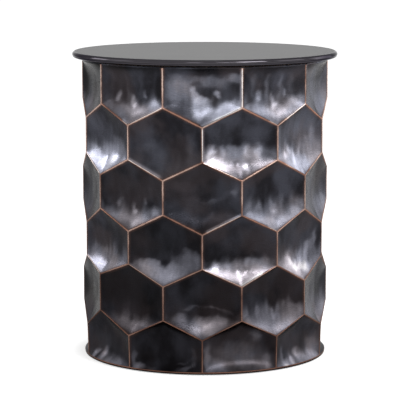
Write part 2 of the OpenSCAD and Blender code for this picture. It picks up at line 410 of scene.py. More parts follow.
@dataclass(frozen=True)
class PatinaSteel:
    """Dark gunmetal patina, lighter in the bellies of the cells, partly worn and partly painted highlight,
    and worn to copper on the ridges.

    The wall's points carry three values for it: rub, how far they are worn lighter or painted with
    highlight, below 0 where shade is painted; ridge, how far they are from a ridge in metres; and pale, how
    far the ridge beside them is worn pale or painted with highlight. A span is where an effect starts and
    where it is full, or its share at the start and at the end.
    """

    dark: Color = (0.0105, 0.010, 0.012)
    cool: Color = (0.033, 0.034, 0.043)
    warm: Color = (0.033, 0.027, 0.029)
    warm_share: float = 0.6
    # The lighter metal of worn places, also used for painted highlight.
    rubbed_and_sheen: Color = (0.335, 0.345, 0.42)
    rubbed_and_sheen_warm: Color = (0.355, 0.335, 0.375)
    torn_edge: float = 0.16
    torn_span: Span = (0.0, 0.30)
    torn_rub: Span = (0.60, 1.08)
    cloudy_rub: Span = (0.8, 1.0)
    brushed_rub: Span = (0.8, 1.1)
    drawn_rub: Span = (0.86, 1.12)
    # Painted highlight: near white where the lightening passes 1.1, mostly on the flanks beside the ridges.
    painted_highlight: Color = (0.82, 0.82, 0.85)
    painted_highlight_span: Span = (1.1, 2.0)
    # Painted shade: near black where the value goes below 0, under the lid and on cells darkened all over.
    painted_shade: Color = (0.004, 0.004, 0.004)
    painted_shade_span: Span = (0.0, -0.5)
    stain: Color = (0.070, 0.040, 0.034)
    stain_share: float = 0.42
    stain_span: Span = (6 * MM, 1.5 * MM)
    copper: Color = (0.262, 0.136, 0.097)
    copper_dull: Color = (0.145, 0.076, 0.058)
    # Pale copper: worn, and painted highlight on ridges whose direction catches the light.
    copper_pale: Color = (0.72, 0.60, 0.54)
    pale_rise: Span = (0.3, 1.0)
    # Painted highlight on the ridges, where their paleness comes from a painted flank highlight.
    painted_glint: Color = (0.60, 0.58, 0.58)
    painted_glint_span: Span = (0.55, 0.9)
    painted_glint_rise: Span = (0.45, 0.9)
    # Painted shade: darker copper towards the ridge's edges, where the bead meets the dish.
    ridge_edge_shade: Color = (0.07, 0.040, 0.032)
    ridge_edge_shade_span: Span = (0.2, 1.0)
    ridge_width: Span = (1.6 * MM, 2.1 * MM)
    ragged_scale: float = 160.0
    ragged_edge: float = 0.9
    covered_span: Span = (0.45, 1.35)
    rise_span: Span = (0.05, 0.42)
    foot_tone: Color = (0.515, 0.490, 0.480)
    top_tone: Color = (1.15, 1.15, 1.15)
    grazing: Color = (0.56, 0.56, 0.56)
    roughness: float = 0.28
    foot_roughness: float = 0.42
    foot_span: Span = (0.02, 0.06)
    ridge_roughness: float = 0.4
    tooth: float = 0.012 * MM

    def patina(self, tree: Tree, effects: Effects, brushed: Output) -> Output:
        """Builds the colour of the dishes: patina, lighter where worn or painted with highlight, near white
        where the highlight is painted strongest, and near black where shade is painted.

        Args:
            tree: the material's tree.
            effects: the shared node groups.
            brushed: the mask of the marks that brushing left across.

        Returns:
            The colour.
        """
        # How far each point is worn lighter or painted with highlight; below 0 it is painted with shade.
        rub_sheen_shade = tree.attribute("rub_sheen_shade")
        clouds = tree.mask(effects.mottle, Scale=22.0, Upright=1.6, Low=0.36, High=0.68)
        tints = tree.mask(effects.mottle, Scale=12.0, Upright=1.0, Low=0.45, High=0.62)
        drawn = tree.mask(effects.mottle, Scale=190.0, Upright=16.0, Low=0.25, High=0.8)
        smoke = tree.mask(effects.mottle, Scale=34.0, Upright=2.2, Low=0.28, High=0.72)
        base = tree.mix(clouds, self.dark, self.cool)
        base = tree.mix(tree.times(tints, self.warm_share), base, self.warm)
        torn = tree.math("ADD", rub_sheen_shade, tree.times(tree.math("SUBTRACT", smoke, 0.5), self.torn_edge))
        share = tree.times(rub_sheen_shade, tree.blend(tree.ramp(torn, *self.torn_span), *self.torn_rub))
        marked = ((clouds, self.cloudy_rub), (brushed, self.brushed_rub), (drawn, self.drawn_rub))
        for mask, strength in marked:
            share = tree.times(share, tree.blend(mask, *strength))
        # Worn places and painted highlight lighten the patina.
        base = tree.mix(share, base, tree.mix(tints, self.rubbed_and_sheen, self.rubbed_and_sheen_warm))
        # Painted highlight, near white.
        base = tree.mix(tree.ramp(rub_sheen_shade, *self.painted_highlight_span), base, self.painted_highlight)
        # Painted shade, near black, where the value is below 0.
        return tree.mix(tree.ramp(rub_sheen_shade, *self.painted_shade_span, smooth=False), base, self.painted_shade)

    def ridge_metal(self, tree: Tree, wear: Output, rise: Output, reach: Output) -> Output:
        """Builds the colour of the ridges, dull copper at the foot and brighter towards the top, with a
        painted highlight, near white, beside the painted flank highlights and darker copper, as painted
        shade, towards their edges.

        Args:
            tree: the material's tree.
            wear: the mask of the places that are worn most.
            rise: how high the place is, from 0 at the foot to 1.
            reach: how far it is from the ridge's middle, in widths of the ridge.

        Returns:
            The colour.
        """
        pale = tree.attribute("pale")
        # Pale copper, partly wear and partly painted highlight.
        worn = tree.times(pale, wear, tree.blend(rise, *self.pale_rise))
        metal = tree.mix(worn, tree.mix(wear, self.copper_dull, self.copper), self.copper_pale)
        # Painted highlight on the ridges beside the painted flanks.
        painted_glint = tree.times(tree.ramp(pale, *self.painted_glint_span), tree.blend(rise, *self.painted_glint_rise))
        metal = tree.mix(painted_glint, metal, self.painted_glint)
        # Painted shade, darker copper, towards the ridge's edges.
        return tree.mix(tree.ramp(reach, *self.ridge_edge_shade_span), metal, self.ridge_edge_shade)

    def build(self, effects: Effects) -> bpy.types.Material:
        """Builds the finish.

        Args:
            effects: the shared node groups.

        Returns:
            The material.
        """
        material, tree, shader = new_material("patina_steel")
        ridge = tree.attribute("ridge")
        brushed = tree.mask(effects.mottle, Scale=150.0, Upright=0.12, Low=0.25, High=0.8)
        wear = tree.mask(effects.mottle, Scale=20.0, Upright=1.0, Low=0.32, High=0.62)
        height = tree.upright(tree.places())
        rise = tree.ramp(height, *self.rise_span)
        noise = tree.math("SUBTRACT", tree.noise(tree.places(), self.ragged_scale, 3.0), 0.5)
        widths = tree.math("DIVIDE", ridge, tree.blend(rise, *self.ridge_width))
        reach = tree.math("ADD", widths, tree.times(noise, self.ragged_edge))
        bare = tree.math("SUBTRACT", 1.0, tree.ramp(reach, *self.covered_span))

        stained = tree.times(tree.ramp(ridge, *self.stain_span), wear, self.stain_share)
        patina = tree.mix(stained, self.patina(tree, effects, brushed), self.stain)
        metal = self.ridge_metal(tree, wear, rise, reach)
        # Darker towards the foot and lighter towards the top.
        foot_to_top_tone = tree.mix(rise, self.foot_tone, self.top_tone)
        tree.put(shader, "Base Color", tree.mix(1.0, tree.mix(bare, patina, metal), foot_to_top_tone, way="MULTIPLY"))
        tree.put(shader, "Specular Tint", rgba(self.grazing))
        tree.put(shader, "Metallic", 1.0)

        grain = tree.group(effects.grain, Scale=420.0, Upright=0.15, Rough=self.roughness, Spread=0.16)
        above_foot = tree.ramp(height, *self.foot_span)
        scuffed = tree.blend(above_foot, self.foot_roughness, grain.outputs["Roughness"])
        tree.put(shader, "Roughness", tree.blend(bare, scuffed, self.ridge_roughness))
        add_bump(tree, shader, tree.math("ADD", grain.outputs["Height"], brushed), self.tooth)
        return material


@dataclass(frozen=True)
class LidLacquer:
    """Charcoal lacquer, satin on the flat of the lid and glossy over dark steel round its rim, with painted
    shade in the rim's seam line.
    """

    top: Color = (0.010, 0.010, 0.011)
    top_cloud: Color = (0.014, 0.014, 0.015)
    top_roughness: float = 0.41
    top_specular: float = 0.58
    rim: Color = (0.054, 0.050, 0.057)
    rim_cloud: Color = (0.045, 0.042, 0.048)
    # Painted shade in the seam line under the rim.
    painted_seam_shade: Color = (0.015, 0.014, 0.016)
    rim_roughness: float = 0.10
    rim_grazing: Color = (0.42, 0.42, 0.43)
    level_span: Span = (0.97, 0.999)
    dust: float = 0.01
    tooth: float = 0.006 * MM

    def build(self, effects: Effects) -> bpy.types.Material:
        """Builds the finish.

        Args:
            effects: the shared node groups.

        Returns:
            The material.
        """
        material, tree, shader = new_material("lid_lacquer")
        flat = tree.ramp(tree.facing_up(), *self.level_span)
        clouds = tree.mask(effects.mottle, Scale=18.0, Upright=1.0, Low=0.35, High=0.7)
        dust = tree.mask(effects.dust, Amount=self.dust, Scale=90.0)
        top = tree.mix(dust, tree.mix(clouds, self.top, self.top_cloud), DUST)
        # Painted shade in the rim's seam line.
        rim = tree.mix(tree.attribute("seam"), tree.mix(clouds, self.rim, self.rim_cloud), self.painted_seam_shade)
        tree.put(shader, "Base Color", tree.mix(flat, rim, top))
        tree.put(shader, "Metallic", tree.math("SUBTRACT", 1.0, flat))
        tree.put(shader, "Specular Tint", tree.mix(flat, self.rim_grazing, WHITE))
        tree.put(shader, "Specular IOR Level", self.top_specular)
        grain = tree.group(effects.grain, Scale=1500.0, Upright=1.0, Rough=self.rim_roughness, Spread=0.04)
        tree.put(shader, "Roughness", tree.blend(flat, grain.outputs["Roughness"], self.top_roughness))
        add_bump(tree, shader, grain.outputs["Height"], self.tooth)
        return material


@dataclass(frozen=True)
class CloudedFinish:
    """A finish whose colour drifts between two, with a fine tooth and, where it has any, dust."""

    name: str
    color: Color
    cloud: Color
    roughness: float
    cloud_scale: float
    tooth_scale: float
    tooth: float
    cloud_upright: float = 1.0
    cloud_low: float = 0.35
    cloud_high: float = 0.70
    spread: float = 0.1
    metallic: float = 0.0
    dust: float = 0.0

    def base(self, tree: Tree, effects: Effects) -> Output:
        """Builds the colour.

        Args:
            tree: the material's tree.
            effects: the shared node groups.

        Returns:
            The colour.
        """
        clouds = tree.mask(
            effects.mottle,
            Scale=self.cloud_scale,
            Upright=self.cloud_upright,
            Low=self.cloud_low,
            High=self.cloud_high,
        )
        base = tree.mix(clouds, self.color, self.cloud)
        if self.dust:
            base = tree.mix(tree.mask(effects.dust, Amount=self.dust, Scale=90.0), base, DUST)
        return base

    def build(self, effects: Effects) -> bpy.types.Material:
        """Builds the finish.

        Args:
            effects: the shared node groups.

        Returns:
            The material.
        """
        material, tree, shader = new_material(self.name)
        tree.put(shader, "Base Color", self.base(tree, effects))
        tree.put(shader, "Metallic", self.metallic)
        grain = tree.group(
            effects.grain, Scale=self.tooth_scale, Upright=1.0, Rough=self.roughness, Spread=self.spread
        )
        tree.put(shader, "Roughness", grain.outputs["Roughness"])
        add_bump(tree, shader, grain.outputs["Height"], self.tooth)
        return material


@dataclass(frozen=True)
class Fibreboard(CloudedFinish):
    """Pressed wood fibre, brown with darker and lighter flecks."""

    fleck: Color = (0.17, 0.11, 0.065)
    fleck_share: float = 0.7

    def base(self, tree: Tree, effects: Effects) -> Output:
        """Builds the colour, with the dark flecks over it.

        Args:
            tree: the material's tree.
            effects: the shared node groups.

        Returns:
            The colour.
        """
        flecks = tree.mask(effects.mottle, Scale=900.0, Upright=0.5, Low=0.55, High=0.7)
        return tree.mix(tree.times(flecks, self.fleck_share), super().base(tree, effects), self.fleck)


INNER_PAINT = CloudedFinish(
    name="inner_paint", color=(0.022, 0.022, 0.024), cloud=(0.034, 0.033, 0.034), roughness=0.42,
    cloud_scale=18.0, tooth_scale=1500.0, tooth=0.006 * MM, spread=0.08, dust=0.05,
)
ZINC_PLATE = CloudedFinish(
    name="zinc_plate", color=(0.56, 0.56, 0.57), cloud=(0.50, 0.49, 0.42), roughness=0.34,
    cloud_scale=240.0, tooth_scale=2600.0, tooth=0.01 * MM, spread=0.2, metallic=1.0,
)
MOULDED_RUBBER = CloudedFinish(
    name="moulded_rubber", color=(0.018, 0.018, 0.019), cloud=(0.045, 0.044, 0.043), roughness=0.72,
    cloud_scale=150.0, cloud_low=0.4, cloud_high=0.75, tooth_scale=1800.0, tooth=0.03 * MM,
)
PRESSED_FIBRE = Fibreboard(
    name="fibreboard", color=(0.30, 0.205, 0.125), cloud=(0.40, 0.29, 0.19), roughness=0.82,
    cloud_scale=420.0, cloud_upright=0.4, cloud_low=0.42, cloud_high=0.68,
    tooth_scale=1400.0, tooth=0.06 * MM, spread=0.15,
)


@dataclass(frozen=True)
class Finishes:
    """Every finish of the table, built once."""

    patina: bpy.types.Material
    inner: bpy.types.Material
    lid: bpy.types.Material
    zinc: bpy.types.Material
    board: bpy.types.Material
    rubber: bpy.types.Material

    @classmethod
    def build(cls) -> "Finishes":
        """Builds the finishes."""
        effects = Effects.build()
        made = (PatinaSteel(), INNER_PAINT, LidLacquer(), ZINC_PLATE, PRESSED_FIBRE, MOULDED_RUBBER)
        return cls(*(finish.build(effects) for finish in made))


@dataclass
class Mesh:
    """Points and faces that grow into one mesh object. Points in the same weld cell become one."""

    points: list[np.ndarray] = field(default_factory=list)
    faces: list[np.ndarray] = field(default_factory=list)
    count: int = 0
    kept: np.ndarray | None = None
    weld_cell: float = 0.007 * MM
    weld_shift: float = 0.137

    def add_points(self, points: np.ndarray) -> int:
        """Adds points.

        Args:
            points: an array of any shape that ends in 3.

        Returns:
            The number of the first point added.
        """
        start = self.count
        self.points.append(points.reshape(-1, 3))
        self.count += len(self.points[-1])
        return start

    def add_band(self, rings: np.ndarray) -> None:
        """Adds the quads between closed rings of points.

        Args:
            rings: an array of rings, points in a ring, and 3. Seen from the side that faces out, a ring
                runs anticlockwise round the next one, or to the right below it.
        """
        ring_count, steps = rings.shape[:2]
        index = self.add_points(rings) + np.arange(ring_count * steps).reshape(ring_count, steps)
        ahead = np.roll(index, -1, axis=1)
        quads = np.stack([index[:-1], ahead[:-1], ahead[1:], index[1:]], axis=-1)
        self.faces.append(quads.reshape(-1, 4))

    def build(
        self, name: str, materials: Sequence[bpy.types.Material], slots: np.ndarray | None = None
    ) -> bpy.types.Object:
        """Welds the points and makes the object.

        Args:
            name: the piece's name.
            materials: its material slots.
            slots: the slot of each face, if they differ.

        Returns:
            The object, linked to the scene and shaded smooth.
        """
        points, faces = np.concatenate(self.points), np.concatenate(self.faces)
        cells = np.round(points / self.weld_cell + self.weld_shift)
        _, self.kept, weld = np.unique(cells, axis=0, return_index=True, return_inverse=True)
        corners = [tuple(dict.fromkeys(face)) for face in weld.reshape(-1)[faces].tolist()]
        mesh = bpy.data.meshes.new(name)
        mesh.from_pydata(points[self.kept].tolist(), [], corners)
        for material in materials:
            mesh.materials.append(material)
        if slots is not None:
            mesh.polygons.foreach_set("material_index", slots.astype(np.int32))
        mesh.polygons.foreach_set("use_smooth", np.ones(len(mesh.polygons), bool))
        mesh.update()
        piece = bpy.data.objects.new(name, mesh)
        bpy.context.scene.collection.objects.link(piece)
        return piece


@dataclass(frozen=True)
class Dent:
    """A hammer's dent, or a patch worn lighter or painted with highlight: drawn out upwards, short below,
    and maybe leaning.

    Its place from the cell's middle and its lengths are in millimetres and its lean in degrees. Its depth is
    in millimetres for a dent, and for a patch its share of the wear and painted highlight, below 0 where it
    is left darker.
    """

    side: float
    height: float
    width: float = 5.0
    tail: float = 13.0
    toe: float = 5.0
    depth: float = 1.0
    lean: float = 0.0

    def weight(self, places: np.ndarray, edge: float = 1.0) -> np.ndarray:
        """Gives the dent's share at places in a cell, 1 where it is deepest.

        Args:
            places: the places across the cell and up from its middle, in metres.
            edge: how sharply it ends, 1 for the softest.

        Returns:
            The share at each place.
        """
        turn = math.radians(self.lean)
        across = places[..., 0] - self.side * MM
        up = places[..., 1] - self.height * MM
        x = across * math.cos(turn) + up * math.sin(turn)
        z = up * math.cos(turn) - across * math.sin(turn)
        length = np.where(z > 0, self.tail, self.toe) * MM
        return np.exp(-(((x / (self.width * MM)) ** 2 + (z / length) ** 2) ** edge))


@dataclass(frozen=True)
class Hammering:
    """How a cell is worked: its dents, its patches of wear and painted highlight, and how sharply the
    patches end, 1 for the softest.
    """

    dents: tuple[Dent, ...]
    patches: tuple[Dent, ...]
    edge: float = 1.3


def marks(*rows: tuple[float, ...]) -> tuple[Dent, ...]:
    """Gives dents from rows of their numbers: side, height, width, tail, toe, depth and lean."""
    return tuple(Dent(*row) for row in rows)


# The ways that a cell is worked; their patches are partly wear and partly painted highlight
FINGERS = Hammering(
    dents=marks(
        (-30, -9, 5.5, 17, 6, 1.1), (4, -21, 6, 24, 7, 1.5, 4), (26, -6, 5, 20, 6, 0.9, 6),
        (44, -12, 12, 12, 14, 1.6), (-52, -20, 9, 16, 8, 0.8),
    ),
    patches=marks(
        (-30, -16, 5, 13, 6, 0.42, -8), (3, -28, 5.5, 17, 5, 0.62, 16),
        (24, -10, 4, 11, 4, 0.32, 6), (50, -24, 13, 12, 8, 0.44), (0, -40, 40, 14, 20, 0.22),
        (-41, 4, 5, 22, 20, 0.10), (-12, 2, 5.5, 22, 22, 0.13), (15, 0, 5, 22, 20, 0.13),
        (38, 2, 6, 20, 16, 0.10), (-26, 4, 5, 15, 9, -0.37), (2, 6, 5, 16, 14, -0.46),
        (24, 14, 5, 14, 13, -0.41), (33, -8, 4, 6, 5, -0.37), (16, -23, 4, 6, 7, -0.32),
    ),
)
CLOUD = Hammering(
    dents=marks(
        (-3, -5, 7, 10, 8, 0.8), (17, -19, 6, 12, 9, 0.9, -8), (28, -5, 6, 9, 6, 0.6),
        (-40, -20, 20, 26, 14, 1.2), (-9, 13, 7, 7, 5, 0.6), (31, 27, 7, 7, 5, 0.6),
    ),
    patches=marks(
        (-13, -6, 6, 11, 14, 0.75, 16), (-3, -27, 15, 15, 20, 0.84), (-2, -17, 13, 6, 6, 0.30),
        (3, -35, 11, 4, 4, -0.34), (51, -26, 11, 4, 4, -0.26), (46, -18, 12, 5, 5, 0.30, 24),
        (14, -38, 20, 8, 12, 0.52), (42, -31, 26, 10, 12, 0.62, 22), (26, -8, 5, 6, 6, 0.55, 30),
        (54, 21, 12, 10, 10, 0.24), (-40, 2, 24, 24, 22, 0.26), (16, 16, 34, 10, 12, 0.17),
        (2, -1, 7, 8, 8, -0.80), (21, -19, 5, 10, 7, -0.70, -6), (46, -8, 14, 9, 8, -0.65, -28),
        (-8, 29, 9, 4, 4, -0.80, 28), (-10, 11, 9, 3.5, 3.5, -0.80, 6),
        (30, 26, 8, 4, 4, -0.70, 16), (-28, -32, 13, 14, 16, -0.60),
    ),
    edge=1.9,
)
SMOOTH = Hammering(
    dents=marks((-20, 4, 7, 34, 24, 0.3), (14, -4, 6, 36, 20, 0.3)),
    patches=marks((0, 0, 60, 50, 60, 0.16), (-30, -30, 30, 30, 30, 0.12)),
)
ICICLES = Hammering(
    dents=marks(
        (-30, -4, 6, 10, 6, 0.9), (11, -8, 5, 10, 6, 0.9), (31, -3, 6, 10, 7, 1.0),
        (-4, -32, 5, 12, 6, 1.3), (13, -34, 5, 8, 6, 1.2), (-44, -16, 9, 9, 16, 1.8, -16),
    ),
    patches=marks(
        (-51, -18, 7, 12, 10, 1.0, -6), (-40, -36, 12, 5, 5, 0.30, -33),
        (-21, -27, 10, 7, 6, -0.60, -30), (36, -25, 18, 8, 7, -0.85, 20),
        (-14, -50, 22, 9, 10, -0.20, 26), (-29, -12, 4.5, 9, 10, 0.36), (12, -14, 4.5, 9, 10, 0.34),
        (32, -12, 5.5, 10, 14, 0.50), (11, -39, 4.5, 6, 8, 0.80), (2, -18, 50, 15, 18, 0.44),
        (-4, -37, 5, 8, 8, -0.30), (-8, 16, 12, 9, 9, -0.23), (50, 15, 10, 9, 9, -0.23),
    ),
)
GLARE = Hammering(
    dents=marks(
        (34, -24, 14, 14, 14, 1.8), (-3, -28, 5, 12, 7, 1.2), (-28, -14, 7, 14, 10, 0.9),
        (8, 0, 6, 14, 8, 0.6),
    ),
    patches=marks(
        (18, -34, 18, 14, 12, 0.92), (0, -50, 15, 8, 8, 0.70), (-44, -24, 9, 9, 12, 0.44),
        (30, -8, 20, 14, 14, 0.25), (0, -30, 46, 18, 24, 0.36), (-15, -30, 5, 12, 9, -0.32),
        (-20, -20, 5, 12, 10, -0.18),
    ),
)
MOTTLED = Hammering(
    dents=marks(
        (-41, -18, 5, 8, 6, 0.9), (-28, -10, 6, 12, 8, 0.9), (-14, -22, 6, 14, 10, 1.0),
        (6, -20, 6, 14, 8, 0.9), (26, 10, 7, 12, 10, 0.7),
    ),
    patches=marks(
        (-41, -24, 5, 5, 5, 0.60), (-28, -16, 7, 8, 9, 0.50), (-14, -32, 8, 12, 12, 0.52),
        (10, -42, 30, 14, 14, 0.50), (36, -10, 14, 26, 24, 0.30), (0, 0, 60, 50, 50, 0.10),
        (-31, -1, 5, 9, 5, -0.37), (4, -22, 6, 9, 8, -0.46), (24, 11, 7, 9, 9, -0.41),
        (-6, -46, 8, 16, 12, -0.45, 18),
    ),
)
RAYS = Hammering(
    dents=marks(
        (-20, -26, 6, 20, 8, 1.2, 22), (14, -34, 9, 18, 10, 1.2, -20),
        (34, -10, 8, 26, 10, 1.0, -24),
    ),
    patches=marks(
        (-30, -24, 10, 11, 12, 0.75), (-11, -38, 14, 13, 10, 0.85), (12, -44, 12, 14, 8, 0.80),
        (24, -18, 6, 24, 20, 0.45, -26), (42, -4, 7, 26, 18, 0.32, -20),
        (6, -20, 5, 18, 14, 0.22, -14), (0, -34, 50, 14, 20, 0.30), (-4, -28, 3.5, 9, 8, -0.60, 10),
        (30, -30, 4, 10, 9, -0.60, -30),
    ),
)
VEIL = Hammering(
    dents=marks((-22, -24, 12, 14, 12, 0.8), (12, -30, 12, 14, 12, 0.8), (-2, -34, 4, 8, 6, 0.9)),
    patches=marks(
        (-28, -28, 22, 16, 13, 0.34), (-4, -42, 24, 14, 12, 0.46), (26, -32, 18, 14, 12, 0.36),
        (-12, -14, 5, 14, 12, 0.16), (16, -12, 5, 16, 12, 0.14), (-4, -32, 4, 7, 6, -0.45),
    ),
)
TIDE = Hammering(
    dents=marks(
        (-26, -18, 18, 14, 12, 0.9), (20, -24, 20, 14, 12, 0.9), (48, -6, 14, 16, 14, 0.7),
    ),
    patches=marks(
        (-34, -26, 23, 10, 16, 0.42), (2, -44, 30, 20, 16, 0.60), (40, -14, 25, 26, 24, 0.30, -14),
        (-2, -20, 8, 7, 7, -0.50), (-44, 12, 12, 16, 14, 0.08),
    ),
)
SWIRL = Hammering(
    dents=CLOUD.dents,
    patches=marks(
        (-36, 18, 26, 12, 10, 0.15, -10), (36, 2, 22, 5, 5, 0.20, 22), (-6, -12, 42, 8, 26, 0.15),
        (55, 12, 6, 16, 20, 0.24), (-4, -4, 30, 4, 4, 0.10, -6), (16, 7, 32, 9, 8, -0.34, -8),
    ),
)
ARCS = Hammering(
    dents=TIDE.dents,
    patches=marks(
        (-18, -7, 18, 3.5, 3.5, 0.20, 8), (16, -7, 18, 3.5, 3.5, 0.20, -8),
        (43, -15, 12, 3.5, 3.5, 0.18, -28), (-38, -24, 11, 8, 12, 0.32), (2, -32, 14, 9, 12, 0.38),
        (30, -27, 12, 8, 10, 0.32), (4, -42, 25, 13, 14, 0.60), (-44, 8, 10, 24, 20, 0.08),
    ),
)
SHELF = Hammering(
    dents=ICICLES.dents,
    patches=marks(
        (-43, -26, 7, 7, 8, 0.60), (-21, -27, 6, 8, 8, 0.35), (14, -21, 5, 7, 8, 0.30),
        (0, -35, 48, 16, 26, 0.74), (38, -22, 16, 10, 10, 0.34), (10, -33, 6, 6, 5, -0.40),
        (-12, -16, 6, 6, 5, -0.40), (-30, -50, 20, 6, 6, -0.30, 26),
    ),
)
PLAIN = Hammering(
    dents=marks((-24, -6, 14, 18, 14, 0.6), (26, 4, 14, 20, 16, 0.6)),
    patches=marks(
        (-28, -4, 12, 10, 14, 0.12), (-12, -20, 8, 10, 12, 0.08), (44, 0, 9, 28, 26, 0.10),
        (18, -20, 16, 16, 16, -0.18),
    ),
)
SMOULDER = Hammering(
    dents=PLAIN.dents,
    patches=marks(
        (-56, -8, 5, 20, 18, 0.26), (-47, -22, 10, 7, 6, 0.36), (-22, -24, 12, 5, 5, 0.16),
        (36, -20, 18, 4, 4, 0.22, 22), (30, -12, 14, 3, 3, 0.16, 22), (50, 0, 8, 20, 18, 0.16),
    ),
)
SCRATCHED = Hammering(
    dents=marks(
        (-38, -20, 6, 9, 8, 1.0, 38), (-15, -17, 7, 11, 9, 1.1, 38), (24, -24, 16, 14, 10, 0.6),
    ),
    patches=marks(
        (-39, -20, 6, 9, 9, 0.60, -36), (-14, -16, 7, 11, 10, 0.80, -36),
        (-27, -18, 4, 13, 12, -0.80, -36), (22, -26, 24, 8, 8, 0.40), (2, -30, 18, 6, 6, 0.24),
        (0, 4, 50, 24, 14, 0.05),
    ),
)
TENTS = Hammering(
    dents=marks(
        (-42, -20, 8, 10, 7, 1.2), (-24, -18, 4, 12, 9, 0.8), (-6, -8, 9, 10, 12, 1.0),
        (20, -14, 8, 12, 10, 1.0), (42, -12, 14, 20, 14, 0.8),
    ),
    patches=marks(
        (-40, -24, 8, 7, 7, 0.75), (-25, -21, 3.5, 9, 8, 0.62), (-4, -9, 9, 7, 12, 0.36),
        (-46, -4, 5, 12, 14, 0.18), (14, -20, 26, 9, 9, 0.30), (42, -10, 18, 20, 16, 0.30),
        (-13, -20, 5, 8, 8, -0.41), (18, -6, 6, 10, 9, -0.37),
    ),
)
BASIN = Hammering(
    dents=marks((-22, -14, 20, 12, 12, 0.7), (22, -14, 20, 12, 12, 0.7)),
    patches=marks(
        (-40, -17, 16, 12, 10, 0.30), (16, -14, 26, 14, 9, 0.16), (-56, -4, 6, 24, 20, 0.28),
        (30, 32, 8, 15, 10, 0.22, 40), (50, -14, 9, 14, 12, 0.24), (-4, 4, 46, 20, 20, 0.20),
    ),
)
SHEET = Hammering(
    dents=SMOOTH.dents,
    patches=marks(
        (-30, 0, 34, 60, 60, 0.16), (4, -10, 6, 40, 24, 0.05), (12, -40, 18, 20, 24, -0.45),
    ),
)
# How the cells are worked: in turn round each row, and by themselves where the photograph shows it, by
# row from the bottom and corner number from the front.
ODD_ROWS = (CLOUD, FINGERS, SMOOTH, CLOUD, FINGERS, SMOOTH, FINGERS, CLOUD, SMOOTH, FINGERS)
EVEN_ROWS = (ICICLES, MOTTLED, PLAIN, ICICLES, PLAIN, MOTTLED, PLAIN, ICICLES, GLARE, PLAIN)
SINGLED = {
    (3, 0): SWIRL, (2, -3): VEIL, (2, 3): RAYS, (2, -1): TIDE, (2, 1): SHELF, (1, -2): VEIL, (1, 0): ARCS,
    (0, -3): SCRATCHED, (0, -1): SMOULDER, (0, 1): BASIN, (0, 3): TENTS,
    (5, 4): SHEET, (3, 4): SHEET, (1, 4): SHEET,
}


class On(IntEnum):
    """The side of a cell that a stretch is on, by its number from the lowest corner or the foot."""

    LOWER_RIGHT = 0
    BOTTOM = 0
    RIGHT = 1
    LEFT = -2
    LOWER_LEFT = -1


def smooth_step(value: np.ndarray) -> np.ndarray:
    """Eases a number from 0 to 1."""
    value = np.clip(value, 0.0, 1.0)
    return value * value * (3 - 2 * value)


@dataclass(frozen=True)
class Flank:
    """A stretch along one side of a cell painted bright beside the ridge: a painted highlight where the
    ridge's flank catches the light.

    It starts and ends at shares of the side's length, fades over such a share, and its width is in
    millimetres.
    """

    side: On
    level: float
    start: float
    end: float
    width: float = 3.6
    fade: float = 0.12

    def weight(self, starts: np.ndarray, places: np.ndarray, each: np.ndarray) -> np.ndarray:
        """Gives the stretch's share at places in a cell.

        Args:
            starts: where each side of the cell starts.
            places: the places, an array that ends in 2.
            each: their distances from its sides.

        Returns:
            The share at each place.
        """
        here, ahead = starts[self.side], np.roll(starts, -1, axis=0)[self.side]
        along = ((places - here) @ (ahead - here)) / ((ahead - here) @ (ahead - here))
        after = smooth_step((along - self.start) / self.fade + 0.5)
        before = smooth_step((self.end - along) / self.fade + 0.5)
        return after * before * np.exp(-((each[..., self.side] / (self.width * MM)) ** 2))


@dataclass(frozen=True)
class WearSheenShade:
    """How far a cell is worn lighter or painted with highlight, towards its foot, in its patches and all
    over, with painted highlight beside its ridges; below 0 all over it is painted with shade.
    """

    belly: float
    patch: float
    all_over: float = 0.0
    flanks: tuple[Flank, ...] = ()
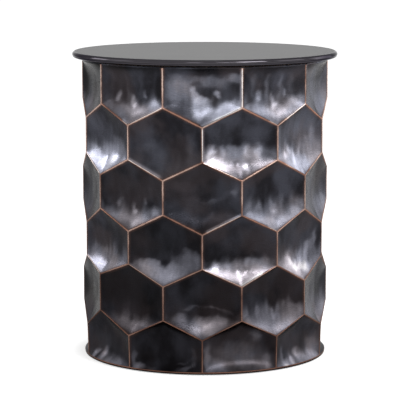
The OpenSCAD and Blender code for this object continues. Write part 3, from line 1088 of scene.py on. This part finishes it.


# The wear, painted highlight and painted shade of the cells that the photograph shows, by row from the
# bottom and corner number from the front.
WEAR_SHEEN_SHADE = {
    (5, -4): WearSheenShade(1.8, 0.6, -0.32),
    (5, -2): WearSheenShade(0.9, 0.9, -0.09, (
        Flank(On.LOWER_RIGHT, 1.1, 0.05, 1.0, 2.8),
        Flank(On.LOWER_LEFT, 0.9, 0.78, 1.0, 2.8),
    )),
    (5, 0): WearSheenShade(0.7, 0.95, 0.03, (
        Flank(On.LOWER_RIGHT, 1.9, 0.0, 1.0, 3.3),
        Flank(On.RIGHT, 1.1, 0.0, 1.0, 2.8),
    )),
    (5, 2): WearSheenShade(1.15, 1.1, 0.02, (
        Flank(On.LOWER_RIGHT, 0.9, 0.3, 1.0, 2.8),
        Flank(On.LOWER_LEFT, 0.8, 0.75, 1.0, 2.8),
    )),
    (5, 4): WearSheenShade(0.7, 1.0, 0.06, (Flank(On.LEFT, 0.9, 0.0, 1.0, 3.6),)),
    (4, -5): WearSheenShade(0.5, 0.5, 0.0),
    (4, -3): WearSheenShade(1.6, 0.88, 0.04, (
        Flank(On.LOWER_LEFT, 1.2, 0.0, 1.0, 2.5),
        Flank(On.LOWER_RIGHT, 0.25, 0.0, 0.4),
    )),
    (4, -1): WearSheenShade(0.45, 0.8, -0.02, (Flank(On.LOWER_LEFT, 1.3, 0.0, 0.9, 3.2),)),
    (4, 1): WearSheenShade(1.1, 1.15, -0.05, (
        Flank(On.LOWER_LEFT, 0.8, 0.0, 0.9, 3.0),
        Flank(On.LEFT, 0.5, 0.0, 1.0, 3.0),
    )),
    (4, 3): WearSheenShade(1.7, 0.85, 0.04, (
        Flank(On.LOWER_LEFT, 0.20, 0.3, 1.0),
        Flank(On.LEFT, 0.16, 0.0, 1.0, 12.0),
    )),
    (4, 5): WearSheenShade(0.6, 0.6, 0.0),
    (3, -4): WearSheenShade(1.3, 0.6, -0.27),
    (3, -2): WearSheenShade(1.5, 0.55, -0.17),
    (3, 0): WearSheenShade(0.3, 1.1, -0.17, (Flank(On.LOWER_RIGHT, 1.2, 0.1, 1.0, 3.0),)),
    (3, 2): WearSheenShade(2.0, 0.45, -0.03, (Flank(On.LOWER_LEFT, 0.8, 0.72, 1.0, 2.8),)),
    (3, 4): WearSheenShade(1.0, 0.9, 0.03),
    (2, -5): WearSheenShade(0.4, 0.4, 0.0),
    (2, -3): WearSheenShade(1.9, 0.95, 0.04, (
        Flank(On.LOWER_LEFT, 1.2, 0.0, 1.0, 2.8),
        Flank(On.LOWER_RIGHT, 0.25, 0.0, 0.5),
    )),
    (2, -1): WearSheenShade(1.4, 1.75, -0.29, (Flank(On.LOWER_LEFT, 0.5, 0.0, 1.0, 3.0),)),
    (2, 1): WearSheenShade(0.9, 1.05, -0.07, (
        Flank(On.LOWER_RIGHT, 2.4, 0.0, 0.62, 3.4),
        Flank(On.LOWER_LEFT, 1.0, 0.0, 1.0, 2.8),
    )),
    (2, 3): WearSheenShade(2.0, 1.0, 0.04, (Flank(On.LOWER_LEFT, 0.30, 0.4, 1.0),)),
    (2, 5): WearSheenShade(0.6, 0.6, 0.0),
    (1, -4): WearSheenShade(1.4, 0.6, -0.25),
    (1, -2): WearSheenShade(1.2, 0.5, -0.28),
    (1, 0): WearSheenShade(1.3, 1.35, -0.19, (Flank(On.LOWER_RIGHT, 0.14, 0.3, 1.0),)),
    (1, 2): WearSheenShade(3.2, 0.7, -0.08, (Flank(On.LOWER_LEFT, 0.35, 0.15, 0.95),)),
    (1, 4): WearSheenShade(2.1, 1.1, 0.03),
    (0, -5): WearSheenShade(0.5, 0.5, 0.0),
    (0, -3): WearSheenShade(0.6, 1.3, 0.03),
    (0, -1): WearSheenShade(0.3, 1.35, -0.12),
    (0, 1): WearSheenShade(0.4, 1.25, -0.03, (Flank(On.BOTTOM, 0.08, 0.1, 0.9, 5.0),)),
    (0, 3): WearSheenShade(1.1, 1.6, 0.10, (Flank(On.BOTTOM, 0.22, 0.1, 0.9, 5.0),)),
    (0, 5): WearSheenShade(0.6, 0.6, 0.0),
}


@dataclass(frozen=True)
class Wave:
    """A slow wave in what is worked by hand: its size and length in millimetres, and its direction."""

    size: float
    length: float
    turn: float = 0.0

    def angle(self, run: np.ndarray, phase: float) -> np.ndarray:
        """Gives the wave's angle after a run, in radians."""
        return run * (2 * math.pi / (self.length * MM)) + phase


# How marks are moved to and fro, and how the line that the lighter bellies reach up to wanders
SWAY = (Wave(1.5, 38.0, 15.0), Wave(1.0, 21.0, 80.0), Wave(0.7, 12.0, 140.0))
SWAY_ASIDE = 1.3
TIDE_LINE = (Wave(5.0, 47.0), Wave(3.0, 23.0), Wave(1.6, 11.0))
# How pale the copper is by a ridge's direction, partly wear and partly painted highlight on the directions
# that catch the light, how far off that counts, and what counts as upright
PALE_UPRIGHT, PALE_RISING, PALE_FALLING = 0.45, 0.34, 0.0
PALE_REACH = 1.5 * MM
UPRIGHT_RUN = 0.3
# The distance from a worn edge that plain metal is given
UNWORN = 9 * MM


@dataclass(frozen=True)
class Stray:
    """A corner of the honeycomb that the hand-worked wall has out of line, in degrees and millimetres."""

    zigzag: int
    index: int
    turn: float
    lift: float


@dataclass(frozen=True)
class Side:
    """One side of a cell: its points, without the last, and whether it is a worn ridge."""

    points: np.ndarray
    worn: bool = True


@dataclass(frozen=True)
class Cell:
    """A cell of the honeycomb: its sides, and the frame that its shape is worked out in."""

    sides: tuple[Side, ...]
    out: np.ndarray
    along: np.ndarray
    middle: float
    wear: WearSheenShade
    hammering: Hammering
    phases: tuple[float, ...]

    def flat(self, points: np.ndarray) -> np.ndarray:
        """Gives points' places across the cell and up from its middle."""
        return np.stack([points @ self.along, points[..., 2] - self.middle], axis=-1)

    @property
    def edge(self) -> np.ndarray:
        """The points of all its sides."""
        return np.concatenate([side.points for side in self.sides])

    @property
    def starts(self) -> np.ndarray:
        """Where each side starts, across the cell and up from its middle."""
        return self.flat(np.stack([side.points[0] for side in self.sides]))

    @property
    def runs(self) -> np.ndarray:
        """The direction of each side."""
        runs = np.roll(self.starts, -1, axis=0) - self.starts
        return runs / np.linalg.norm(runs, axis=1)[:, None]

    def distances(self, places: np.ndarray) -> np.ndarray:
        """Gives how far places in the cell are from each of its sides, with a last axis for the sides."""
        inward = np.stack([-self.runs[:, 1], self.runs[:, 0]], axis=-1)
        return (places @ inward.T - np.einsum("ij,ij->i", inward, self.starts)).clip(0.0)

    def sway(self, places: np.ndarray) -> np.ndarray:
        """Moves places a little to and fro, so that the marks worked by hand aren't round.

        Args:
            places: an array that ends in 2.

        Returns:
            The places moved.
        """
        moved = places.copy()
        for wave, phase in zip(SWAY, self.phases):
            turn = math.radians(wave.turn)
            angle = wave.angle(places @ np.array([math.cos(turn), math.sin(turn)]), phase)
            moved += wave.size * MM * np.stack([np.sin(angle), np.cos(SWAY_ASIDE * angle)], axis=-1)
        return moved

    def tide(self, side: np.ndarray) -> np.ndarray:
        """Gives how far the line that the rubbing reaches up to wanders at places across the cell."""
        waves = zip(TIDE_LINE, self.phases[::-1])
        return sum(wave.size * MM * np.sin(wave.angle(side, phase)) for wave, phase in waves)

    def pale(self, each: np.ndarray) -> np.ndarray:
        """Gives how pale the copper is, by the direction of the sides close by: partly wear, partly painted
        highlight on the sides that catch the light.

        Args:
            each: the distances from the sides.

        Returns:
            The paleness at each place.
        """
        x, z = self.runs.T
        leaning = np.where(x * z > 0, PALE_RISING, PALE_FALLING)
        kind = np.where(np.abs(x) < UPRIGHT_RUN, PALE_UPRIGHT, leaning)
        weight = np.exp(-each / PALE_REACH)
        return (weight * kind).sum(-1) / weight.sum(-1)


def mean_value(ring: np.ndarray, values: np.ndarray, places: np.ndarray) -> np.ndarray:
    """Spreads values on a closed line smoothly over the places inside it.

    Args:
        ring: the line's points, an array of points and 2.
        values: their values.
        places: the places inside, an array of places and 2.

    Returns:
        The value at each place.
    """
    spoke = ring[None] - places[:, None]
    reach = np.linalg.norm(spoke, axis=-1)
    ahead, reach_ahead = np.roll(spoke, -1, axis=1), np.roll(reach, -1, axis=1)
    cross = spoke[..., 0] * ahead[..., 1] - spoke[..., 1] * ahead[..., 0]
    half = (reach * reach_ahead - (spoke * ahead).sum(-1)) / cross
    weight = (half + np.roll(half, 1, axis=1)) / reach
    return (weight * values).sum(-1) / weight.sum(-1)


def around(radius: Measure, angle: Measure, height: Measure) -> np.ndarray:
    """Gives points by their distance from the axis, angle from the front in degrees, and height."""
    turn = np.radians(angle)
    return np.stack(np.broadcast_arrays(radius * np.sin(turn), -radius * np.cos(turn), height), axis=-1)


def add_values(piece: bpy.types.Object, name: str, values: np.ndarray) -> None:
    """Gives each point of a piece a value that its finish reads by name."""
    attribute = piece.data.attributes.new(name, "FLOAT", "POINT")
    attribute.data.foreach_set("value", values.astype(np.float32))


@dataclass
class HoneycombWall:
    """The drum's wall: sheet steel pressed into a honeycomb of dished cells, with worn ridges.

    The rings of points in a cell are near_rings and then far_rings, a start, an end and a step, from its
    edge in millimetres. The circles of the foot count as foot_worn millimetres from a worn edge. The
    cells that the photograph doesn't show are worn lighter and painted with highlight by chance, within
    hidden_belly and hidden_patch.
    """

    ridge_radius: float = RIDGE_RADIUS
    foot_radius: float = 211 * MM
    sheet: float = 1 * MM
    collar: float = 4 * MM
    dish_depth: float = 16 * MM
    cells_around: int = 10
    cell_pitch: float = 89.2 * MM
    cell_edge: float = 57.8 * MM
    first_corner: float = 58.2 * MM
    turn: float = -1.15
    zigzags: int = 5
    side_steps: int = 16
    ridge_rise: float = 0.5 * MM
    ridge_round: float = 1.5 * MM
    ridge_fade: float = 3 * MM
    dish_reach: float = 60 * MM
    near_rings: tuple[float, ...] = (0.0, 0.6, 1.2, 1.9, 2.8, 4.0, 5.6, 7.8, 10.5)
    far_rings: tuple[float, float, float] = (13.4, 58.0, 2.9)
    roundness: float = 7.0
    least_distance: float = 0.001 * MM
    far_off: float = 1.0
    dent_start: float = 1.5 * MM
    dent_run: float = 9 * MM
    foot_rim: float = 2.0 * MM
    foot_bead: float = 0.5 * MM
    foot_worn: tuple[float, ...] = (9.0, 2.4, 1.2, 0.6, 0.0, 0.0, 0.0, 0.0, 0.6, 0.6)
    # The lighter bellies: partly wear, partly painted highlight where the lower dish faces up to the light.
    belly_rub_and_sheen: float = 0.26
    belly_top: float = 5 * MM
    belly_run: float = 48 * MM
    # How pale a painted flank highlight makes the ridge beside it.
    flank_highlight_pale: float = 0.35
    # Painted shade under the lid's overhang, and how far down it reaches.
    lid_shade: float = 0.24
    lid_shade_reach: float = 7 * MM
    brim_rub: float = 0.5
    hidden_belly: Span = (0.6, 1.6)
    hidden_patch: Span = (0.4, 1.0)
    strays: tuple[Stray, ...] = (
        Stray(0, -3, -2.0, 2.5),
        Stray(0, 3, 0.0, -3.0),
        Stray(1, -3, -2.0, 7.5),
        Stray(1, -2, 0.0, 2.0),
        Stray(1, 3, 0.0, -2.0),
        Stray(2, -3, -1.4, 0.0),
        Stray(3, -3, -1.4, 0.0),
        Stray(4, -4, 0.0, 3.0),
    )

    def __post_init__(self) -> None:
        """Takes the wall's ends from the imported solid."""
        low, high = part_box("drum_shell")
        self.low, self.high = low.z, high.z
        self.corners_around = 2 * self.cells_around
        self.half_cell = 360.0 / self.corners_around
        self.zigzag = self.cell_pitch - self.cell_edge
        rings = np.concatenate([self.near_rings, np.arange(*self.far_rings)])
        self.shares = 1 - rings * MM / self.dish_reach
        self.values: dict[str, list[np.ndarray]] = {"ridge": [], "rub_sheen_shade": [], "pale": []}

    def at(self, radius: float, index: Measure, height: float, turn: float = 0.0) -> np.ndarray:
        """Gives points by corner numbers, which are half a cell apart and start at the front."""
        return around(radius, self.turn + self.half_cell * (index % self.corners_around) + turn, height)

    def corner(self, zigzag: int, index: int) -> np.ndarray:
        """Gives a corner of the honeycomb.

        Args:
            zigzag: the zigzag's number, from the bottom.
            index: the corner's number round the drum.

        Returns:
            The corner's place.
        """
        turn, lift = 0.0, 0.0
        for stray in self.strays:
            if stray.zigzag == zigzag and (stray.index - index) % self.corners_around == 0:
                turn, lift = stray.turn, stray.lift * MM
        high = 0.0 if (zigzag + index) % 2 == 0 else self.zigzag
        height = self.low + self.first_corner + self.cell_pitch * zigzag + high + lift
        return self.at(self.ridge_radius, index, height, turn)

    def between(self, *corners: np.ndarray) -> tuple[Side, ...]:
        """Gives the straight sides from each corner to the next."""
        share = np.arange(self.side_steps)[:, None] / self.side_steps
        return tuple(Side(start + (end - start) * share) for start, end in zip(corners, corners[1:]))

    def arc(self, radius: float, height: float, start: int, end: int) -> Side:
        """Gives the plain side that follows a collar.

        Args:
            radius: the collar's radius.
            height: its height.
            start: the corner number where it starts.
            end: the corner number where it ends.

        Returns:
            The side.
        """
        steps = 2 * self.side_steps
        index = start + (end - start) * np.arange(steps) / steps
        return Side(self.at(radius, index, height), worn=False)

    def sides(self, row: int, index: int) -> tuple[Side, ...]:
        """Gives the sides of a cell, anticlockwise as seen from outside.

        Args:
            row: the cell's row, from the bottom.
            index: the corner number at its middle.

        Returns:
            The sides.
        """
        here = (index - 1, index, index + 1)
        if row == 0:
            level = self.low + self.collar
            base = self.arc(self.foot_radius, level, index - 1, index + 1)
            end = self.at(self.foot_radius, index + 1, level)
            left, upper, right = (self.corner(0, number) for number in here)
            return (base, *self.between(end, right, upper, left, base.points[0]))
        left, lower, right = (self.corner(row - 1, number) for number in here)
        if row == self.zigzags:
            level = self.high - self.collar
            mouth = self.arc(self.ridge_radius, level, index + 1, index - 1)
            end = self.at(self.ridge_radius, index - 1, level)
            return (*self.between(lower, right, mouth.points[0]), mouth, *self.between(end, left, lower))
        upper_left, upper, upper_right = (self.corner(row, number) for number in here)
        return self.between(lower, right, upper_right, upper, upper_left, left, lower)

    def cell(self, row: int, index: int) -> Cell:
        """Gives a cell.

        Args:
            row: the cell's row, from the bottom.
            index: the corner number at its middle.

        Returns:
            The cell.
        """
        angle = self.turn + self.half_cell * index
        radians = math.radians(angle)
        signed = (index + self.cells_around) % self.corners_around - self.cells_around
        dice = random.Random(100 * row + signed)
        hidden = WearSheenShade(dice.uniform(*self.hidden_belly), dice.uniform(*self.hidden_patch))
        worked = ODD_ROWS if row % 2 else EVEN_ROWS
        return Cell(
            sides=self.sides(row, index),
            out=around(1.0, angle, 0.0),
            along=np.array([math.cos(radians), math.sin(radians), 0.0]),
            middle=self.low + self.first_corner + self.cell_pitch * row - self.cell_edge / 2,
            wear=WEAR_SHEEN_SHADE.get((row, signed), hidden),
            hammering=SINGLED.get((row, signed), worked[(signed // 2) % len(worked)]),
            phases=tuple(dice.uniform(0.0, 2 * math.pi) for _ in SWAY),
        )

    def inward(self, each: np.ndarray) -> np.ndarray:
        """Gives how far places are from all sides at once, rounded where two sides meet."""
        return ((each + self.least_distance) ** -self.roundness).sum(axis=-1) ** (-1 / self.roundness)

    def shape(self, cell: Cell, places: np.ndarray, ridge_line: np.ndarray) -> np.ndarray:
        """Gives the wall's points at places in a cell, and notes their values for the finish.

        Args:
            cell: the cell.
            places: the places across it and up from its middle, an array that ends in 2.
            ridge_line: how far out the ridges around would put each place.

        Returns:
            The points.
        """
        each = cell.distances(places)
        worn = np.array([side.worn for side in cell.sides])
        ridge = each[..., worn].min(axis=-1)
        plain = each[..., ~worn].min(axis=-1, initial=self.far_off)

        middle = self.inward(cell.distances(np.zeros((1, 2))))
        dish = 1 - (1 - np.clip(self.inward(each) / middle, 0, 1)) ** 2
        radius = ridge_line - dish * (ridge_line - self.ridge_radius + self.dish_depth)
        calm = smooth_step((each.min(axis=-1) - self.dent_start) / self.dent_run)
        for dent in cell.hammering.dents:
            radius = radius - dent.depth * MM * dent.weight(places) * calm
        points = cell.out * radius[..., None] + cell.along * places[..., :1]
        reach = np.hypot(points[..., 0], points[..., 1])
        bead = np.exp(-((ridge / self.ridge_round) ** 2)) * smooth_step(plain / self.ridge_fade)
        points[..., :2] *= (1 + self.ridge_rise * bead / reach)[..., None]
        points[..., 2] = cell.middle + places[..., 1]

        rub_sheen_shade, pale = self.rub_sheen_and_shade(cell, places, each)
        for name, value in (("ridge", ridge), ("rub_sheen_shade", rub_sheen_shade), ("pale", pale)):
            self.values[name].append(value.reshape(-1))
        return points

    def rub_sheen_and_shade(self, cell: Cell, places: np.ndarray, each: np.ndarray) -> tuple[np.ndarray, np.ndarray]:
        """Gives how far places in a cell are worn lighter or painted with highlight, less the painted shade
        under the lid, and how pale the ridges beside them are.

        Args:
            cell: the cell.
            places: the places across it and up from its middle.
            each: their distances from its sides.

        Returns:
            The lightening, with painted highlight and painted shade in it, and the paleness at each place.
        """
        wear, hammering = cell.wear, cell.hammering
        x, z = places[..., 0], places[..., 1]
        # Lighter towards each cell's foot: partly wear, partly painted highlight.
        rub_sheen_shade = self.belly_rub_and_sheen * wear.belly * smooth_step((self.belly_top + cell.tide(x) - z) / self.belly_run)
        marked = cell.sway(places)
        # Patches: worn metal and painted highlights.
        for patch in hammering.patches:
            share = wear.patch * patch.depth * patch.weight(marked, hammering.edge)
            rub_sheen_shade = rub_sheen_shade + share if patch.depth > 0 else rub_sheen_shade * (1 + share).clip(0.0)
        pale = cell.pale(each)
        # Flanks: painted highlights beside the ridges, in the dish and on the ridge.
        for flank in wear.flanks:
            near = flank.weight(cell.starts, places, each)
            rub_sheen_shade = rub_sheen_shade + flank.level * near
            pale = np.maximum(pale, min(1.0, self.flank_highlight_pale + flank.level) * near)
        # Painted shade just below the lid's overhang.
        below_lid = self.high - self.collar - cell.middle - z
        shade = self.lid_shade * np.exp(-((below_lid / self.lid_shade_reach) ** 2))
        return rub_sheen_shade + wear.all_over - shade, pale

    def add_cell(self, mesh: Mesh, cell: Cell) -> None:
        """Adds one dished cell.

        Args:
            mesh: the wall's mesh.
            cell: the cell.
        """
        ring, level = cell.flat(cell.edge), cell.edge @ cell.out
        places = ring * self.shares[:, None, None]
        inner = mean_value(ring, level, places[1:].reshape(-1, 2)).reshape(-1, len(ring))
        mesh.add_band(self.shape(cell, places, np.concatenate([level[None], inner])))

        last = mesh.count - len(ring) + np.arange(len(ring))
        tip = np.zeros((1, 2))
        centre = mesh.add_points(self.shape(cell, tip, mean_value(ring, level, tip)))
        mesh.faces.append(np.stack([last, np.roll(last, -1), np.full_like(last, centre), last], axis=-1))

    def ring(self, radius: float, height: float) -> np.ndarray:
        """Gives a whole circle of points at a radius and a height."""
        steps = self.side_steps * self.corners_around
        return around(radius, self.turn + 360.0 * np.arange(steps) / steps, height)

    def add_rings(
        self,
        mesh: Mesh,
        rings: Sequence[np.ndarray],
        ridge: Sequence[float] | float = UNWORN,
        rub_sheen_shade: Sequence[float] | float = 0.0,
    ) -> None:
        """Adds a band between whole circles.

        Args:
            mesh: the wall's mesh.
            rings: the circles, from the lowest if the band faces out.
            ridge: how far the band, or each circle, counts as being from a worn edge, in metres.
            rub_sheen_shade: how far the band, or each circle, is worn lighter or painted with highlight.
        """
        mesh.add_band(np.stack(rings))
        for name, value in (("ridge", ridge), ("rub_sheen_shade", rub_sheen_shade), ("pale", 0.0)):
            self.values[name].append(np.repeat(np.broadcast_to(value, len(rings)), len(rings[0])))

    def add_outside(self, mesh: Mesh, base: np.ndarray, brim: np.ndarray) -> None:
        """Adds the cells, the beaded foot under them and the collar over them.

        Args:
            mesh: the wall's mesh.
            base: the circle at the foot's lower edge.
            brim: the circle at the mouth's upper edge.
        """
        for row in range(self.zigzags + 1):
            for column in range(self.cells_around):
                self.add_cell(mesh, self.cell(row, 2 * column + (row + 1) % 2))
        bead = [
            self.ring(
                self.foot_radius + self.foot_bead * math.sin(turn),
                self.low + self.foot_rim + (self.collar - self.foot_rim) * (1 - math.cos(turn)) / 2,
            )
            for turn in np.linspace(0, math.pi, len(self.foot_worn) - 1)
        ]
        self.add_rings(mesh, [base, *bead], [distance * MM for distance in self.foot_worn])
        shoulder = self.ring(self.ridge_radius, self.high - self.collar)
        self.add_rings(mesh, [shoulder, brim], rub_sheen_shade=(0.0, self.brim_rub))

    def add_inside(self, mesh: Mesh) -> None:
        """Adds the inner face of the sheet, which follows the outer one.

        Args:
            mesh: the wall's mesh, with the outer face alone.
        """
        outer_points, outer_faces = np.concatenate(mesh.points), np.concatenate(mesh.faces)
        reach = np.hypot(outer_points[:, 0], outer_points[:, 1])[:, None]
        inner_points = outer_points.copy()
        inner_points[:, :2] *= (reach - self.sheet) / reach
        start = mesh.add_points(inner_points)
        mesh.faces.append((outer_faces + start)[:, ::-1])
        for name, value in (("ridge", UNWORN), ("rub_sheen_shade", 0.0), ("pale", 0.0)):
            self.values[name].append(np.full(len(inner_points), value))

    def build(self, finishes: Finishes) -> bpy.types.Object:
        """Builds the wall and dresses it.

        Args:
            finishes: the table's finishes.

        Returns:
            The wall's piece.
        """
        mesh = Mesh()
        base, brim = self.ring(self.foot_radius, self.low), self.ring(self.ridge_radius, self.high)
        self.add_outside(mesh, base, brim)
        outer = sum(len(faces) for faces in mesh.faces)
        self.add_inside(mesh)
        self.add_rings(mesh, [self.ring(self.foot_radius - self.sheet, self.low), base])
        self.add_rings(mesh, [brim, self.ring(self.ridge_radius - self.sheet, self.high)])

        slots = np.zeros(sum(len(faces) for faces in mesh.faces), np.int32)
        slots[outer:2 * outer] = 1
        wall = mesh.build("drum_wall", [finishes.patina, finishes.inner], slots)
        for name, values in self.values.items():
            add_values(wall, name, np.concatenate(values)[mesh.kept])
        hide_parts("drum_shell")
        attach(wall, Body.DRUM.value)
        return wall


@dataclass
class Lid:
    """The lift-off lid: a pressed skin with a half-round rim over a board, and what hangs under it."""

    radius: float = 230 * MM
    ridge_radius: float = RIDGE_RADIUS
    hem_inset: float = 3 * MM
    hem_chamfer: float = 0.2 * MM
    skin: float = 1.2 * MM
    steps: int = 288
    top_rings: tuple[float, ...] = (0.0, 0.25, 0.5, 0.75, 0.9, 0.97, 0.99, 0.997)
    rim_steps: int = 60
    inner_rim_steps: int = 10
    rim_share: float = 0.6
    seam_turn: float = -22.0
    seam_width: float = 9.0
    seam_depth: float = 0.45 * MM

    def __post_init__(self) -> None:
        """Takes the lid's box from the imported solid."""
        low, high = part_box("lid_skin")
        self.low, self.high = low.z, high.z
        self.round_r = (self.high - self.low) / 2
        self.centre_r, self.centre_z = self.radius - self.round_r, self.low + self.round_r

    def seam(self, turn: Measure) -> Measure:
        """Gives how deep in the seam line, from 0 to 1, places at an angle above the rim's middle are."""
        return np.exp(-(((np.degrees(turn) - self.seam_turn) / self.seam_width) ** 2))

    def rim(self, reach: float, turn: float) -> tuple[float, float]:
        """Gives the radius and height of a place, by its reach and angle from the rim's middle."""
        return self.centre_r + reach * math.cos(turn), self.centre_z + reach * math.sin(turn)

    def profile(self) -> list[tuple[float, float]]:
        """Gives the skin's section: from the middle of the top round the rim to the hem and back inside."""
        points = [(share * self.centre_r, self.high) for share in self.top_rings]
        for turn in np.linspace(math.pi / 2, -math.pi / 2, self.rim_steps + 1):
            points.append(self.rim(self.round_r - self.seam_depth * self.seam(turn), turn))
        hem = self.ridge_radius + self.hem_inset
        points.append((hem + self.hem_chamfer, self.low))
        points.append((hem, self.low + self.hem_chamfer))
        points.append((hem, self.low + self.skin))
        for turn in np.linspace(-math.pi / 2, math.pi / 2, self.inner_rim_steps + 1):
            points.append(self.rim(self.round_r - self.skin, turn))
        points.append((0.0, self.high - self.skin))
        return points

    def build(self, finishes: Finishes) -> list[bpy.types.Object]:
        """Builds the skin and dresses what hangs under it.

        Args:
            finishes: the table's finishes.

        Returns:
            The lid's pieces.
        """
        mesh = Mesh()
        radius, height = (np.array(column)[:, None] for column in zip(*self.profile()[::-1]))
        mesh.add_band(around(radius, 360.0 * np.arange(self.steps) / self.steps, height))
        skin = mesh.build("lid_cover", [finishes.lid])
        places = np.concatenate(mesh.points)[mesh.kept]
        away, up = np.hypot(places[:, 0], places[:, 1]), places[:, 2]
        outside = away > self.radius - self.round_r * self.rim_share
        # The seam mask carries the painted shade in the seam line.
        add_values(skin, "seam", self.seam(np.arctan2(up - self.centre_z, away - self.centre_r)) * outside)
        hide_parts("lid_skin")
        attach(skin, Body.LID.value)
        return [skin, *dress_nodes({
            "lid_board": finishes.board,
            "locating_ring": finishes.inner,
            "ring_tab": finishes.zinc,
            "ring_screws": finishes.zinc,
            "rest_pad": finishes.rubber,
        })]


def dress_nodes(dress: dict[str, bpy.types.Material]) -> list[bpy.types.Object]:
    """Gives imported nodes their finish.

    Args:
        dress: the start of the nodes' names, and their finish.

    Returns:
        The nodes that were dressed.
    """
    done = []
    for start, material in dress.items():
        for name, node in sorted(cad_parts.items()):
            if name.startswith(start):
                node.data.materials.clear()
                node.data.materials.append(material)
                done.append(node)
    return done


@dataclass
class DrumFittings:
    """The rings, the floor pan, its rivets and the glides."""

    def build(self, finishes: Finishes) -> list[bpy.types.Object]:
        """Dresses the fittings and gives their pieces."""
        return dress_nodes({
            "mouth_ring": finishes.inner,
            "base_ring": finishes.inner,
            "floor_pan": finishes.inner,
            "pan_rivets": finishes.zinc,
            "foot_glide": finishes.rubber,
        })


@dataclass(frozen=True)
class Softbox:
    """A soft lamp that looks at the drum's middle."""

    name: str
    azimuth: float
    elevation: float
    distance: float
    width: float
    height: float
    radiance: float

    def build(self, target: Vector) -> None:
        """Builds the lamp.

        Args:
            target: the point that it looks at.
        """
        lamp = bpy.data.lights.new(self.name, "AREA")
        lamp.shape = "RECTANGLE"
        lamp.size, lamp.size_y = self.width, self.height
        lamp.energy = self.radiance * math.pi * self.width * self.height
        azimuth, elevation = math.radians(self.azimuth), math.radians(self.elevation)
        back = Vector((
            math.sin(azimuth) * math.cos(elevation),
            -math.cos(azimuth) * math.cos(elevation),
            math.sin(elevation),
        ))
        holder = bpy.data.objects.new(self.name, lamp)
        holder.location = target + back * self.distance
        holder.rotation_euler = (-back).to_track_quat("-Z", "Y").to_euler()
        bpy.context.scene.collection.objects.link(holder)


@dataclass
class Studio:
    """The pale floor, the white surroundings, the lamps and the camera."""

    floor_size: float = 60.0
    floor_color: Color = (0.80, 0.80, 0.80)
    floor_glow: float = 0.80
    # Painted shade: the floor glows less close round the drum's foot, rising to floor_glow by floor_reach.
    contact_shade_glow: float = 0.56
    near_reach: float = 0.21
    floor_reach: float = 0.25
    sky: float = 0.36
    camera_place: Point = (0.0, -3.610, 0.783)
    camera_pitch: float = 8.36
    camera_yaw: float = 0.089
    camera_lens: float = 179.95
    camera_sensor: float = 36.0
    camera_sight: float = 50.0
    lamps: tuple[Softbox, ...] = (
        Softbox("key_lamp", 43.0, 36.0, 2.8, 1.05, 0.95, 9.6),
        Softbox("strip_lamp", 27.0, 30.0, 2.8, 1.5, 0.11, 18.0),
        Softbox("front_lamp", -9.0, 28.0, 2.8, 0.5, 0.8, 2.4),
        Softbox("right_side_lamp", 80.0, 28.0, 2.8, 1.3, 1.0, 1.9),
        Softbox("left_side_lamp", -76.0, 24.0, 2.8, 1.1, 0.8, 1.4),
        Softbox("right_back_lamp", 122.0, 14.0, 2.6, 1.5, 1.6, 2.3),
        Softbox("left_back_lamp", -101.0, 20.0, 2.6, 0.9, 0.8, 5.0),
    )

    @staticmethod
    def seen_white(tree: Tree) -> Output:
        """Gives 1 for the camera's rays and for what gloss and glass show, and 0 for the rest.

        Args:
            tree: the tree of the material or the world.

        Returns:
            The result.
        """
        path = tree.add("LightPath").outputs
        either = tree.math("MAXIMUM", path["Is Camera Ray"], path["Is Glossy Ray"])
        return tree.math("MAXIMUM", either, path["Is Transmission Ray"])

    def build_world(self) -> None:
        """Builds the white surroundings."""
        world = bpy.data.worlds.new("surroundings")
        bpy.context.scene.world = world
        world.use_nodes = True
        world.node_tree.nodes.clear()
        tree = Tree(world.node_tree)
        background = tree.add("Background")
        tree.put(background, "Color", rgba(WHITE))
        tree.put(background, "Strength", tree.blend(self.seen_white(tree), self.sky, 1.0))
        tree.put(tree.add("OutputWorld"), "Surface", background.outputs[0])

    def build_floor(self) -> None:
        """Builds the floor."""
        mesh = bpy.data.meshes.new("floor")
        half = self.floor_size / 2
        corners = [(-half, -half, 0), (half, -half, 0), (half, half, 0), (-half, half, 0)]
        mesh.from_pydata(corners, [], [(0, 1, 2, 3)])
        floor = bpy.data.objects.new("floor", mesh)
        bpy.context.scene.collection.objects.link(floor)
        material, tree, shader = new_material("pale_floor")
        tree.put(shader, "Base Color", rgba(self.floor_color))
        tree.put(shader, "Roughness", 1.0)
        tree.put(shader, "Specular IOR Level", 0.0)
        tree.put(shader, "Emission Color", rgba(WHITE))
        away = tree.add("VectorMath", operation="LENGTH")
        tree.put(away, 0, tree.places())
        share = tree.ramp(away.outputs["Value"], self.near_reach, self.floor_reach)
        # Painted shade close round the drum's foot.
        glow = tree.blend(share, self.contact_shade_glow, self.floor_glow)
        tree.put(shader, "Emission Strength", tree.times(self.seen_white(tree), glow))
        mesh.materials.append(material)

    def build_camera(self) -> None:
        """Builds the camera at the photograph's place."""
        data = bpy.data.cameras.new("camera")
        data.lens = self.camera_lens
        data.sensor_width = self.camera_sensor
        data.clip_end = self.camera_sight
        camera = bpy.data.objects.new("camera", data)
        camera.location = self.camera_place
        camera.rotation_euler = (math.radians(90 - self.camera_pitch), 0.0, math.radians(-self.camera_yaw))
        bpy.context.scene.collection.objects.link(camera)
        bpy.context.scene.camera = camera

    def build(self) -> None:
        """Builds the whole set."""
        bpy.context.scene.view_settings.view_transform = "Standard"
        self.build_world()
        self.build_floor()
        self.build_camera()
        low, high = CAD_BOX
        target = Vector((0.0, 0.0, (low.z + high.z) / 2))
        for lamp in self.lamps:
            lamp.build(target)


def main() -> None:
    """Builds the set, then the table from the wall to the lid, and reports each piece."""
    logging.basicConfig(level=logging.INFO, format="%(message)s")
    Studio().build()
    finishes = Finishes.build()
    pieces = [HoneycombWall().build(finishes), *DrumFittings().build(finishes), *Lid().build(finishes)]
    for piece in pieces:
        log.info("%s: %d faces", piece.name, len(piece.data.polygons))


if __name__ == "__main__":
    main()
